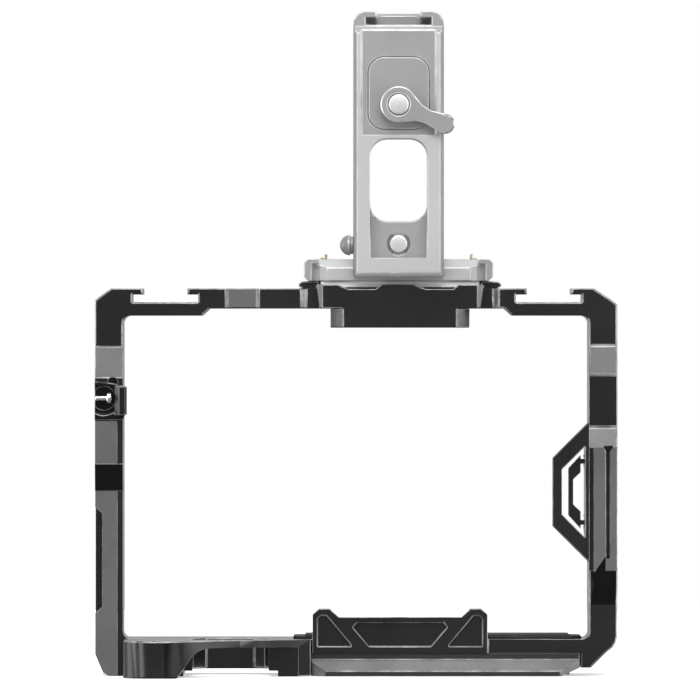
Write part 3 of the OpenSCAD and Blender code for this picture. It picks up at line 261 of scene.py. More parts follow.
BLACK_TONES = (0.0062, 0.0062, 0.0066), (0.0105, 0.0105, 0.011)
BLACK = anodised("black_anodised", *BLACK_TONES, 0.0, 0.15, 0.65, dust=0.03)
# Lighter than the black it edges: a painted highlight along the broken edges, with real rubbed wear patches
# on it.
BLACK_EDGE_HIGHLIGHT = anodised("black_edge_painted_highlight", (0.13, 0.13, 0.132), (0.19, 0.19, 0.193), 0.3, 0.2, 0.7,
                      rubbed=(0.42, 0.42, 0.425), rub=0.7, dust=0.0)
# Painted shade: a darker copy of the black for the milled steps and hollows.
BLACK_SHADE = anodised("black_painted_shade", (0.0022, 0.0022, 0.0023), (0.0035, 0.0035, 0.0037), 0.0, 0.2,
                      0.24, dust=0.02)
BLACK_FACET = anodised("black_upper_facet", *BLACK_TONES, 0.0, 0.17, 0.44, dust=0.02)
GREY = anodised("grey_anodised_foot", (0.016, 0.016, 0.0165), (0.024, 0.024, 0.025), 0.0, 0.28, 0.6)
# Painted highlight: a much lighter copy of the grey for the dovetail's slanted faces, with some real rubbed
# wear patches.
GREY_SLOPE_HIGHLIGHT = anodised("grey_slope_painted_highlight", (0.12, 0.12, 0.122), (0.17, 0.17, 0.173), 0.3, 0.36, 0.6,
                       rubbed=(0.22, 0.22, 0.22), rub=0.35, dust=0.02)
# Lighter than the grey it edges: a painted highlight along the broken edges, with real rubbed wear patches on
# it.
GREY_EDGE_HIGHLIGHT = anodised("grey_edge_painted_highlight", (0.05, 0.05, 0.052), (0.09, 0.09, 0.093), 0.3, 0.3, 0.6,
                     rubbed=(0.3, 0.3, 0.31), rub=0.6, dust=0.0)
CLAMP = anodised("black_clamp", (0.0018, 0.0018, 0.002), (0.0032, 0.0032, 0.0034), 0.0, 0.24, 0.22,
                 dust=0.02)
SILVER = anodised("silver_anodised", (0.43, 0.43, 0.432), (0.47, 0.47, 0.473), 0.1, 0.42, 0.5, dust=0.03)
# Painted shade: a darker copy of the silver for the handle's set-back faces and the ends of its foot.
SILVER_SHADE = anodised("silver_painted_shade", (0.27, 0.27, 0.272), (0.31, 0.31, 0.312), 0.1, 0.4, 0.5,
                       dust=0.02)
SILVER_EDGE = anodised("silver_anodised_edge", (0.42, 0.42, 0.423), (0.5, 0.5, 0.503), 0.25, 0.36, 0.5,
                       rubbed=(0.72, 0.72, 0.72), rub=0.5, dust=0.0)
# Painted shade: a darker copy of the silver for the slanted sides down the handle's front, its edges there,
# and the button.
SILVER_SIDE_SHADE = anodised("silver_side_painted_shade", (0.2, 0.2, 0.202), (0.24, 0.24, 0.242), 0.1, 0.42, 0.35,
                       dust=0.0)
# Painted light: a bright copy of the silver for the tongue's front, which sits in shade behind the mount's
# wall.
TONGUE_LIGHT = anodised("silver_tongue_painted_light", (0.82, 0.82, 0.82), (0.88, 0.88, 0.88), 0.0, 0.5, 0.5, dust=0.0)
HARDWARE = anodised("silver_hardware", (0.31, 0.31, 0.315), (0.36, 0.36, 0.365), 0.45, 0.36, 0.5,
                    dust=0.02)
# Lighter than the hardware it edges: a painted highlight along the broken edges, with real rubbed wear
# patches on it.
HARDWARE_EDGE_HIGHLIGHT = anodised("hardware_edge_painted_highlight", (0.5, 0.5, 0.5), (0.6, 0.6, 0.6), 0.6, 0.3, 0.5,
                         rubbed=(0.8, 0.8, 0.8), rub=0.5, dust=0.0)
BRIGHT = steel("bright_steel", (0.72, 0.72, 0.72), 0.2, (HANDLE_X, 0, LEVER_Z), (1, 0, 1))
DISC = steel("turned_disc", (0.86, 0.86, 0.86), 0.34, (HANDLE_X, 0, LEVER_Z), (1, 0, 1))
CAMERA_STEEL = steel("camera_screw_steel", (0.62, 0.62, 0.63), 0.22)
KEY_STEEL = steel("key_steel", (0.34, 0.34, 0.35), 0.3, scale=900.0)
BLACK_STEEL = steel("black_steel", (0.06, 0.06, 0.062), 0.32, scale=1500.0)
NICKEL = steel("magnet_nickel", (0.72, 0.7, 0.66), 0.16, scale=1200.0)
BRASS = steel("pin_brass", (0.95, 0.87, 0.7), 0.36, (HANDLE_X, PIN_Y, 0), ring_depth=0.000001, scale=300.0)
RUBBER = rubber("black_rubber", (0.02, 0.02, 0.021))


# ---- Mesh helpers ----
def new_object(name, mesh):
    made = bpy.data.objects.new(name, mesh)
    bpy.context.scene.collection.objects.link(made)
    return made


def settle(obj):
    """Turns an object with modifiers into one with a plain mesh, at the origin."""
    graph = bpy.context.evaluated_depsgraph_get()
    mesh = bpy.data.meshes.new_from_object(obj.evaluated_get(graph))
    name = obj.name
    mesh.transform(obj.matrix_world)
    bpy.data.objects.remove(obj)
    made = new_object(name, mesh)
    mesh.name = name
    return made


def place_piece(obj, body, slot, *nodes):
    """Joins a finished piece to its body and hides the parts of the frame that it takes the place of."""
    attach(obj, body)
    if nodes:
        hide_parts(*nodes)
    return obj


def place_of(item):
    """Middle of a face or an edge, in millimetres."""
    middle = sum((corner.co for corner in item.verts), Vector()) / len(item.verts)
    return middle / MM


def steepness(edge):
    """How much of an edge's length goes up: 0 for a level edge, 1 for an upright one."""
    return abs(edge.verts[0].co.z - edge.verts[1].co.z) / max(edge.calc_length(), 1e-9)


def shaded_front(face):
    """The faces of the handle's front that lie back from it, and the slope above them, which get painted
    shade.
    """
    _, y, z = place_of(face)
    slope = 0.2 < face.normal.z < 0.95 and face.normal.y < -0.2 and z > 178 and y < -10
    return face.normal.y < -0.95 and -19.7 < y < -4 or slope


def slanted_side(face):
    """The long slanted faces down the handle's front corners, which get painted shade."""
    return abs(face.normal.x) > 0.4 and face.normal.y < -0.3


def foot_end(face):
    """The block at each end of the handle's foot, which gets painted shade."""
    return face.normal.y < -0.3 and abs(place_of(face).x - HANDLE_X) > 22.2


def button_face(face):
    """The button, without the strip along the handle; it gets painted shade."""
    return place_of(face).x < -14.7


def tongue_front(face):
    """The front of the tongue that shows in the scallops of the mount, which gets painted light."""
    x, y, z = place_of(face)
    return face.normal.y < -0.9 and abs(x) < 23 and -12.2 < y < -10.7 and z < 112


def lit_dovetail_slope(face):
    """The slanted faces along the dovetail and at its corners: painted highlight, with some real wear rubbed
    by the clamp.
    """
    low = 0.5 < face.normal.z < 0.9 and abs(place_of(face).y) > 12
    corner = abs(face.normal.x) > 0.3 and face.normal.y < -0.2
    return low or corner


def shaded_step_faces(face):
    """Faces that get painted shade: steps cut deeper in the uprights, and the hollow sides of the grip foot.
    """
    x, y, z = place_of(face)
    front = face.normal.y
    grip_step = front < -0.9 and x < -76 and 52.4 < z < 60
    port_step = front < -0.95 and x > 54 and 20.4 < z < 38
    port_sill = front < -0.1 and x > 54 and 19 < z < 21.6
    port_point = front < -0.9 and x > 58 and 24 < z < 33 - 0.96 * (x - 59)
    foot_wall = y < -13 and z < 10.3 and abs(face.normal.z) < 0.5
    root, hollow, end = -78.2 < x < -74.6, -68 < x < -45 and face.normal.x > 0.15, -30 < x < -25
    return grip_step or port_step or port_sill or port_point or foot_wall and (root or hollow or end)


def upper_facet(face):
    """The slanted faces high on both uprights."""
    x, y, z = place_of(face)
    return -0.96 < face.normal.y < -0.85 and y < -10 and abs(x) > 53 and 83 < z < 97


def highlit_waist_bar(face):
    """The short slanted faces at both ends of the bar's waist, which get the painted edge highlight."""
    x, y, z = place_of(face)
    return face.normal.y < -0.3 and abs(face.normal.x) > 0.5 and y < -10 and 26.2 < abs(x) < 28 and z > 102


def cage_edges(edge):
    """How much of the full edge break each edge of the cage gets."""
    x, y, z = place_of(edge)
    grip_upright = x < -76 and (z < 84 or steepness(edge) < 0.2 and z < 98)
    port_upright = 52.5 < x < 57 and 28 < z < 84
    if grip_upright or port_upright:
        return 0.14
    port_step = 53.6 < x < 61 and 19 < z < 38 and y < -6
    if port_step:
        return 0.0
    bridge = -62 < x < -24 and y < -2 and z < 8.6
    foot_seam = abs(z - 6.5) < 0.5 and y < -13
    if bridge or foot_seam:
        return 0.08
    on_lip = abs(x) < 26 and y < -12 and z > 6
    in_groove = x > 54.2 and abs(y) > 12.5 and 25 < z < 66
    in_bores = abs(y) < 9 and abs(z - 106.4) < 4 or abs(x) > 54 and abs(y) < 4
    return 0.4 if on_lip or in_groove or in_bores else 1.0


def foot_edges(edge):
    """The dovetail foot's upper edge lies against the floor and is hardly broken."""
    return 0.2 if place_of(edge).z > 6 else 1.0


def handle_edges(edge):
    """The counterbore of the post and the foot of the sunk front are hardly broken."""
    x, y, z = place_of(edge)
    front_corner = y < -19 and abs(x - HANDLE_X) > 12.5 and steepness(edge) > 0.9
    if front_corner:
        return 1.0
    sunk_foot = y < -14 and 149 < z < 155
    if sunk_foot:
        return 0.15
    counterbore = math.hypot(x - HANDLE_X, z - POST_SCREW_Z) < 5
    return 0.05 if counterbore else 0.45


def edge_finish(node, face):
    """Material place of a broken edge: the painted edge highlight, left off the edges that face down on the
    black pieces, and painted shade on the edges down the handle's front.
    """
    if node == "handle_body":
        x, y, _ = face.center / MM
        return 3 if y < -18 and abs(x - HANDLE_X) > 11.7 and abs(face.normal.x) > 0.3 else 1
    return 0 if face.normal.z < -0.35 and node in ("main_frame", "top_mount", "cable_guard") else 1


def rounded_nose(edge):
    """The upright edges round the nose of the grip foot, which is one smooth curve."""
    x, y, z = place_of(edge)
    return -76 < x < -40 and y < -14 and z < 11 and steepness(edge) > 0.8


def skin_of(solid):
    """The solid's surface, for the nearest place on it and the way it faces there."""
    return BVHTree.FromPolygons([v.co for v in solid.vertices], [p.vertices for p in solid.polygons])


def kept_in(obj, solid, reach):
    """Corners that the edge cutting threw off the solid are set back on its surface."""
    skin = skin_of(solid)
    for corner in obj.data.vertices:
        near, facing, _, away = skin.find_nearest(corner.co)
        outside = (corner.co - near).dot(facing) > 0
        if away > reach or (outside and away > PROUD):
            corner.co = near
    return obj


def flat_patch(start, facing):
    """The connected faces in one plane with start, turned either way, in the order they are found."""
    patch, todo = {start: True}, [start]
    level = start.calc_center_median().dot(facing)
    while todo:
        for edge in todo.pop().edges:
            for face in edge.link_faces:
                if face in patch or face.material_index == 1:
                    continue
                flat = abs(face.normal.dot(facing)) > SAME_WAY or face.calc_area() < SLIVER
                if flat and abs(face.calc_center_median().dot(facing) - level) < SAME_PLANE:
                    patch[face] = True
                    todo.append(face)
    return patch


def filled_afresh(shape, patch, facing, strength):
    """Fills the outline of a flat patch with new triangles, unless they miss its area."""
    edges = dict.fromkeys(edge for face in patch for edge in face.edges)
    rim = [edge for edge in edges if sum(face in patch for face in edge.link_faces) == 1]
    inner = [edge for edge in edges if sum(face in patch for face in edge.link_faces) > 1]
    area = sum(math.copysign(face.calc_area(), face.normal.dot(facing)) for face in patch)
    trial = bmesh.new()
    twins = {corner: trial.verts.new(corner.co)
             for corner in dict.fromkeys(corner for edge in rim for corner in edge.verts)}
    back = {twin: corner for corner, twin in twins.items()}
    lines = [trial.edges.new([twins[corner] for corner in edge.verts]) for edge in rim]
    bmesh.ops.triangle_fill(trial, edges=lines, use_beauty=True, normal=facing)
    loops = []
    for face in trial.faces:
        corners = [back[corner] for corner in face.verts]
        loops.append(corners if face.normal.dot(facing) > 0 else corners[::-1])
    got = sum(face.calc_area() for face in trial.faces)
    trial.free()
    if abs(got - area) > AREA_MISS * abs(area):
        return
    largest = max(patch, key=lambda face: face.calc_area())
    finish, force = largest.material_index, largest[strength] if strength else 0
    bmesh.ops.delete(shape, geom=list(patch), context="FACES_ONLY")
    bmesh.ops.delete(shape, geom=[edge for edge in inner if not edge.link_faces], context="EDGES")
    for corners in loops:
        if shape.faces.get(corners):
            continue
        face = shape.faces.new(corners)
        face.smooth = True
        face.material_index = finish
        if strength:
            face[strength] = force


def unfolded(obj, solid):
    """Flat faces whose thin triangles were folded over by the edge cutting are filled afresh."""
    skin = skin_of(solid)
    shape = bmesh.new()
    shape.from_mesh(obj.data)
    strength = shape.faces.layers.int.get("__mod_weightednormals_faceweight")
    for face in list(shape.faces):
        if not face.is_valid or face.material_index == 1 or face.calc_area() < SLIVER:
            continue
        facing = skin.find_nearest(face.calc_center_median())[1]
        if face.normal.dot(facing) < -0.5:
            filled_afresh(shape, flat_patch(face, facing), facing, strength)
            shape.normal_update()
    shape.to_mesh(obj.data)
    shape.free()
    return obj


def scored(shape):
    """Cuts the front of both uprights where a darker step begins and ends, so that the step can take the
    painted shade.
    """
    cuts = [((-82, 0, 59.9), (0, 0, 1)), ((-82, 0, 52.5), (0, 0, 1)), ((59.0, 0, 33.0), (0.69, 0, 0.72))]
    for place, normal in cuts:
        side = 1 if place[0] > 0 else -1
        faces = [face for face in shape.faces if face.normal.y < -0.9 and place_of(face).x * side > 52
                 and min(c.co.z for c in face.verts) < place[2] * MM < max(c.co.z for c in face.verts)
                 and (side < 0 or min(c.co.x for c in face.verts) > 58 * MM)]
        near = dict.fromkeys(item for face in faces for item in (*face.edges, *face.verts))
        bmesh.ops.bisect_plane(shape, geom=[*faces, *near], plane_co=Vector(place) * MM, plane_no=normal)


def machined(node, name, slot, body, material, edge_material, width, finishes=(), ease=None, blend=None,
             angle=17.0):
    """A machined piece: the frame's solid with its edges broken, as far as ease says for each edge.

    finishes pairs further materials with a test for the faces they go on. blend tests for edges that stay
    smooth, and angle is the least bend that counts as an edge."""
    solid = NODES[node].data
    mesh = solid.copy()
    mesh.materials.clear()
    shape = bmesh.new()
    shape.from_mesh(mesh)
    bmesh.ops.remove_doubles(shape, verts=shape.verts, dist=WELD)
    bmesh.ops.dissolve_limit(shape, angle_limit=math.radians(0.6), verts=shape.verts, edges=shape.edges)
    bmesh.ops.dissolve_degenerate(shape, dist=4e-6, edges=shape.edges)
    bmesh.ops.triangulate(shape, faces=shape.faces)
    if node == "main_frame":
        scored(shape)
        bmesh.ops.triangulate(shape, faces=shape.faces)
    for face in shape.faces:
        face.smooth = True
        for place, (_, test) in enumerate(finishes, 2):
            if test(face):
                face.material_index = place
    share = shape.edges.layers.float.new("bevel_weight_edge")
    for edge in shape.edges:
        bend = edge.calc_face_angle(0.0) if len(edge.link_faces) == 2 else 0.0
        if bend <= math.radians(angle) or blend and bend < math.radians(50) and blend(edge):
            continue
        edge.smooth = False
        edge[share] = ease(edge) if ease else 1.0
    shape.to_mesh(mesh)
    shape.free()
    for finish in (material, edge_material, *(row[0] for row in finishes)):
        mesh.materials.append(finish)
    made = new_object(name, mesh)
    cut = made.modifiers.new("broken_edges", "BEVEL")
    cut.width = width * MM
    cut.segments = 2
    cut.limit_method = "WEIGHT"
    cut.use_clamp_overlap = False
    cut.miter_outer = "MITER_ARC"
    cut.material = 1
    cut.face_strength_mode = "FSTR_ALL"
    made = unfolded(kept_in(settle(made), solid, 1.3 * width * MM), solid)
    flat = made.modifiers.new("flat_faces", "WEIGHTED_NORMAL")
    flat.mode = "FACE_AREA"
    flat.weight = 90
    flat.keep_sharp = True
    flat.use_face_influence = True
    made = settle(made)
    for face in made.data.polygons:
        if face.material_index == 1:
            face.material_index = edge_finish(node, face)
    return place_piece(made, body, slot, node)


MACHINED = [
    ("main_frame", "cage_ring", "black_anodised", "cage", BLACK, BLACK_EDGE_HIGHLIGHT, 0.5,
     [(BLACK_SHADE, shaded_step_faces), (BLACK_EDGE_HIGHLIGHT, highlit_waist_bar), (BLACK_FACET, upper_facet)],
     cage_edges, rounded_nose),
    ("top_mount", "mount_block", "black_anodised", "cage", BLACK, BLACK_EDGE_HIGHLIGHT, 0.3),
    ("quick_release_foot", "dovetail_foot", "grey_anodised", "cage", GREY, GREY_EDGE_HIGHLIGHT, 0.25,
     [(GREY_SLOPE_HIGHLIGHT, lit_dovetail_slope)], foot_edges),
    ("strap_lug_clamp", "strap_hook", "black_clamp", "cage", CLAMP, GREY_EDGE_HIGHLIGHT, 0.16),
    ("cable_guard", "guard_wing", "black_clamp", "cage", BLACK, BLACK_EDGE_HIGHLIGHT, 0.25),
    ("cable_keeper", "guard_keeper", "black_clamp", "cage", BLACK, BLACK_EDGE_HIGHLIGHT, 0.18),
    ("handle_foot", "handle_base", "silver_anodised", "handle", SILVER, SILVER_EDGE, 0.25,
     [(SILVER_SHADE, foot_end), (TONGUE_LIGHT, tongue_front)]),
    ("handle_body", "handle_grip", "silver_anodised", "handle", SILVER, SILVER_EDGE, 0.8,
     [(SILVER_SHADE, shaded_front), (SILVER_SIDE_SHADE, slanted_side)], handle_edges, None, 28.0),
    ("shoe_stop", "handle_shoe_stop", "silver_hardware", "handle", HARDWARE, HARDWARE_EDGE_HIGHLIGHT, 0.15),
    ("lock_plate", "lever_plate", "silver_hardware", "handle", HARDWARE, HARDWARE_EDGE_HIGHLIGHT, 0.2),
    ("lock_lever", "lever_arm", "silver_hardware", "lock_lever", HARDWARE, HARDWARE_EDGE_HIGHLIGHT, 0.35),
    ("release_button", "button_cap", "silver_hardware", "release_button", HARDWARE, HARDWARE_EDGE_HIGHLIGHT, 0.15,
     [(SILVER_SIDE_SHADE, button_face)]),
    ("hex_key", "stowed_key", "bright_steel", "hex_key", KEY_STEEL, KEY_STEEL, 0.12),
    ("camera_screw", "camera_screw_body", "bright_steel", "camera_screw", CAMERA_STEEL, CAMERA_STEEL, 0.14),
]
for row in MACHINED:
    machined(*row)

# The dovetail foot reaches the cage's own block, with a hairline seam, and its far end rises as a lead-in.
# The tongue of the handle's foot hangs down to the bar.
FOOT_END_X, LEAD_IN_X, LEAD_IN_SLOPE, TONGUE_TOP, REACH = -24, 45.2, 0.43, 110.3, 0.5
for corner in bpy.data.objects["dovetail_foot"].data.vertices:
    if corner.co.x < FOOT_END_X * MM:
        corner.co.x -= REACH * MM
    corner.co.z = max(corner.co.z, (corner.co.x - LEAD_IN_X * MM) * LEAD_IN_SLOPE)
for corner in bpy.data.objects["handle_base"].data.vertices:
    if corner.co.z < TONGUE_TOP * MM:
        corner.co.z -= REACH * MM


# ---- Turned pieces ----
def finish_shape(name, shape, material, angle=32.0):
    """Turns a bmesh into an object with its faces outwards and its real corners sharp."""
    bmesh.ops.remove_doubles(shape, verts=shape.verts, dist=1e-7)
    bmesh.ops.recalc_face_normals(shape, faces=shape.faces)
    for face in shape.faces:
        face.smooth = True
        face.material_index = 0
    mesh = bpy.data.meshes.new(name)
    shape.to_mesh(mesh)
    shape.free()
    mesh.materials.append(material)
    mesh.set_sharp_from_angle(angle=math.radians(angle))
    return new_object(name, mesh)


def turned(name, profile, places, material, axis=(0, 0, 1), segments=48):
    """Lathe work, once at each place: profile is (radius, height) in mm from the low to the high pole."""
    shape = bmesh.new()
    turn = Vector((0, 0, 1)).rotation_difference(Vector(axis)).to_matrix().to_4x4()
    for place in places:
        rings = []
        for radius, height in profile:
            count = segments if radius > 0 else 1
            rings.append([shape.verts.new((radius * MM * math.cos(2 * math.pi * i / count),
                                           radius * MM * math.sin(2 * math.pi * i / count), height * MM))
                          for i in range(count)])
        for low, high in zip(rings, rings[1:]):
            for i in range(segments):
                ring = [low[i % len(low)], low[(i + 1) % len(low)],
                        high[(i + 1) % len(high)], high[i % len(high)]]
                corners = [v for k, v in enumerate(ring) if v not in ring[:k]]
                if len(corners) > 2:
                    shape.faces.new(corners)
        made = [v for ring in rings for v in ring]
        bmesh.ops.transform(shape, matrix=Matrix.Translation(Vector(place) * MM) @ turn, verts=made)
    return finish_shape(name, shape, material)


# ---- Geometry Nodes: what repeats or follows a path ----
def geometry_tree(name, inputs):
    """A tree with a mesh in and out and named inputs; sizes are in metres."""
    tree = bpy.data.node_groups.new(name, "GeometryNodeTree")
    tree.interface.new_socket("Geometry", in_out="INPUT", socket_type="NodeSocketGeometry")
    kinds = {float: "NodeSocketFloat", int: "NodeSocketInt", tuple: "NodeSocketVector"}
    for label, value in inputs:
        socket = tree.interface.new_socket(label, in_out="INPUT", socket_type=kinds[type(value)])
        socket.default_value = value
    tree.interface.new_socket("Material", in_out="INPUT", socket_type="NodeSocketMaterial")
    tree.interface.new_socket("Geometry", in_out="OUTPUT", socket_type="NodeSocketGeometry")
    return tree, tree.nodes.new("NodeGroupInput").outputs, tree.nodes.new("NodeGroupOutput").inputs


def shape_node(tree, kind, inputs):
    """The shape that one node of a geometry tree gives."""
    return add(tree, "GeometryNode" + kind, inputs).outputs[0]


def end_tree(tree, instances, given, out):
    """Real meshes with their material: the end of every tree."""
    real = shape_node(tree, "RealizeInstances", {"Geometry": instances})
    dressed = shape_node(tree, "SetMaterial", {"Geometry": real, "Material": given["Material"]})
    tree.links.new(dressed, out["Geometry"])
    return tree


def at_height(tree, shape, z):
    offset = add(tree, "ShaderNodeCombineXYZ", {"Z": z}).outputs[0]
    return shape_node(tree, "Transform", {"Geometry": shape, "Translation": offset})


def united(tree, shapes, operation="UNION"):
    made = add(tree, "GeometryNodeMeshBoolean", operation=operation, solver="EXACT")
    if operation == "DIFFERENCE":
        tree.links.new(shapes[0], made.inputs["Mesh 1"])
        shapes = shapes[1:]
    for shape in shapes:
        tree.links.new(shape, made.inputs["Mesh 2"])
    return made.outputs["Mesh"]


def screw_tree():
    """Flat-headed screw with a hexagon socket and a broken rim, at every guide point."""
    tree, given, out = geometry_tree("socket_screws", [
        ("Head Radius", 0.003), ("Cone", 0.0015), ("Rim", 0.00018), ("Shank Radius", 0.0015),
        ("Length", 0.008), ("Socket Radius", 0.00115), ("Socket Depth", 0.0011), ("Turn", UPRIGHT)])
    head = shape_node(tree, "MeshCone", {
        "Vertices": 40, "Radius Top": given["Head Radius"], "Radius Bottom": given["Shank Radius"],
        "Depth": math_node(tree, "SUBTRACT", given["Cone"], given["Rim"])})
    rim = shape_node(tree, "MeshCone", {
        "Vertices": 40, "Radius Bottom": given["Head Radius"], "Depth": given["Rim"],
        "Radius Top": math_node(tree, "SUBTRACT", given["Head Radius"], given["Rim"])})
    shank = shape_node(tree, "MeshCylinder", {
        "Vertices": 40, "Radius": given["Shank Radius"], "Depth": given["Length"]})
    hexagon = shape_node(tree, "MeshCylinder", {
        "Vertices": 6, "Radius": given["Socket Radius"],
        "Depth": times(tree, given["Socket Depth"], 2.0)})
    below = math_node(tree, "SUBTRACT", times(tree, given["Length"], -0.5), given["Rim"])
    parts = [at_height(tree, head, times(tree, given["Cone"], -1.0)),
             at_height(tree, rim, times(tree, given["Rim"], -1.0)),
             at_height(tree, shank, below)]
    body = united(tree, [united(tree, parts), hexagon], "DIFFERENCE")
    row = shape_node(tree, "InstanceOnPoints", {
        "Points": given["Geometry"], "Instance": body, "Rotation": given["Turn"]})
    return end_tree(tree, row, given, out)


def thread_tree():
    """Helical ridge of a screw thread about Z, turned and set at every guide point."""
    tree, given, out = geometry_tree("thread_ridge", [
        ("Radius", 0.00255), ("Pitch", 0.00127), ("Turns", 4.0), ("Ridge", 0.00042), ("Turn", UPRIGHT)])
    helix = add(tree, "GeometryNodeCurveSpiral", {
        "Resolution": 28, "Rotations": given["Turns"], "Start Radius": given["Radius"],
        "End Radius": given["Radius"], "Height": times(tree, given["Pitch"], given["Turns"])})
    form = add(tree, "GeometryNodeCurvePrimitiveCircle", {"Resolution": 4, "Radius": given["Ridge"]})
    ridge = shape_node(tree, "CurveToMesh", {
        "Curve": helix.outputs[0], "Profile Curve": form.outputs[0], "Fill Caps": True})
    half = times(tree, times(tree, given["Pitch"], given["Turns"]), -0.5)
    row = shape_node(tree, "InstanceOnPoints", {
        "Points": given["Geometry"], "Instance": at_height(tree, ridge, half),
        "Rotation": given["Turn"]})
    return end_tree(tree, row, given, out)


def stud_tree():
    """Rows of small blunt pyramids over a rectangle, every second row shifted, facing one way."""
    tree, given, out = geometry_tree("moulded_studs", [
        ("Size X", 0.05), ("Size Y", 0.014), ("Count X", 20), ("Count Y", 6), ("Stud", 0.0011),
        ("Height", 0.0006), ("Turn", UPRIGHT), ("Place", (0.0, 0.0, 0.0))])
    field = shape_node(tree, "MeshGrid", {
        "Size X": given["Size X"], "Size Y": given["Size Y"], "Vertices X": given["Count X"],
        "Vertices Y": given["Count Y"]})
    stud = shape_node(tree, "MeshCone", {
        "Vertices": 4, "Radius Top": times(tree, given["Stud"], 0.35),
        "Radius Bottom": given["Stud"], "Depth": given["Height"]})
    rows = shape_node(tree, "InstanceOnPoints", {"Points": field, "Instance": stud})
    turned_rows = shape_node(tree, "Transform", {
        "Geometry": rows, "Rotation": given["Turn"], "Translation": given["Place"]})
    return end_tree(tree, turned_rows, given, out)


def rib_tree():
    """Half-round ribs side by side along Y, lying along X."""
    tree, given, out = geometry_tree("moulded_ribs", [
        ("Length", 0.02), ("Spread", 0.024), ("Count", 10), ("Rib Radius", 0.0004),
        ("Place", (0.0, 0.0, 0.0))])
    step = math_node(tree, "DIVIDE", given["Spread"], math_node(tree, "SUBTRACT", given["Count"], 1.0))
    start = add(tree, "ShaderNodeCombineXYZ", {"Y": times(tree, given["Spread"], -0.5)}).outputs[0]
    offset = add(tree, "ShaderNodeCombineXYZ", {"Y": step}).outputs[0]
    line = shape_node(tree, "MeshLine", {
        "Count": given["Count"], "Start Location": start, "Offset": offset})
    rib = shape_node(tree, "MeshCylinder", {
        "Vertices": 14, "Radius": given["Rib Radius"], "Depth": given["Length"]})
    lying = shape_node(tree, "Transform", {"Geometry": rib, "Rotation": ALONG_X})
    row = shape_node(tree, "InstanceOnPoints", {"Points": line, "Instance": lying})
    placed = shape_node(tree, "Transform", {"Geometry": row, "Translation": given["Place"]})
    return end_tree(tree, placed, given, out)


def knurl_tree():
    """Upright ribs round the rim of a thumb-turned head."""
    tree, given, out = geometry_tree("head_knurl", [
        ("Radius", 0.0083), ("Count", 60), ("Rib Radius", 0.0002), ("Height", 0.0018),
        ("Place", (0.0, 0.0, 0.0))])
    ring = shape_node(tree, "MeshCircle", {"Vertices": given["Count"], "Radius": given["Radius"]})
    rib = shape_node(tree, "MeshCylinder", {
        "Vertices": 8, "Radius": given["Rib Radius"], "Depth": given["Height"]})
    row = shape_node(tree, "InstanceOnPoints", {"Points": ring, "Instance": rib})
    placed = shape_node(tree, "Transform", {"Geometry": row, "Translation": given["Place"]})
    return end_tree(tree, placed, given, out)


def wire_tree():
    """Round wire bent along the guide's edges, with rounded corners."""
    tree, given, out = geometry_tree("bent_wire", [("Wire Radius", 0.0006), ("Bend Radius", 0.0014)])
    path = shape_node(tree, "MeshToCurve", {"Mesh": given["Geometry"]})
    bent = add(tree, "GeometryNodeFilletCurve", {
        "Curve": path, "Radius": given["Bend Radius"], "Count": 7, "Limit Radius": True}, mode="POLY")
    form = add(tree, "GeometryNodeCurvePrimitiveCircle", {"Resolution": 18, "Radius": given["Wire Radius"]})
    wire = shape_node(tree, "CurveToMesh", {
        "Curve": bent.outputs[0], "Profile Curve": form.outputs[0], "Fill Caps": True})
    return end_tree(tree, wire, given, out)


def grown(name, tree, places, values, material, edges=(), angle=32.0):
    """Runs a tree on guide points given in mm, and keeps the result as a plain mesh."""
    guide = bpy.data.meshes.new(name)
    guide.from_pydata([tuple(c * MM for c in p) for p in places], list(edges), [])
    holder = new_object(name, guide)
    maker = holder.modifiers.new("maker", "NODES")
    maker.node_group = tree
    for item in tree.interface.items_tree:
        if item.item_type != "SOCKET" or item.in_out != "INPUT":
            continue
        if item.name in values:
            maker[item.identifier] = values[item.name]
        elif item.name == "Material":
            maker[item.identifier] = material
    made = settle(holder)
    shape = bmesh.new()
    shape.from_mesh(made.data)
    bpy.data.objects.remove(made)
    return finish_shape(name, shape, material, angle)


def merged(name, pieces):
    """Several shapes as one object; each keeps its own finish."""
    shape = bmesh.new()
    finishes = []
    for piece in pieces:
        start = len(shape.faces)
        shape.from_mesh(piece.data)
        shape.faces.ensure_lookup_table()
        places = []
        for finish in piece.data.materials:
            if finish not in finishes:
                finishes.append(finish)
            places.append(finishes.index(finish))
        for face in shape.faces[start:]:
            face.material_index = places[face.material_index]
        bpy.data.objects.remove(piece)
    mesh = bpy.data.meshes.new(name)
    shape.to_mesh(mesh)
    shape.free()
    for finish in finishes:
        mesh.materials.append(finish)
    mesh.set_sharp_from_angle(angle=math.radians(32.0))
    return new_object(name, mesh)


SCREWS, THREADS, STUDS = screw_tree(), thread_tree(), stud_tree()
RIBS, KNURL, WIRE = rib_tree(), knurl_tree(), wire_tree()

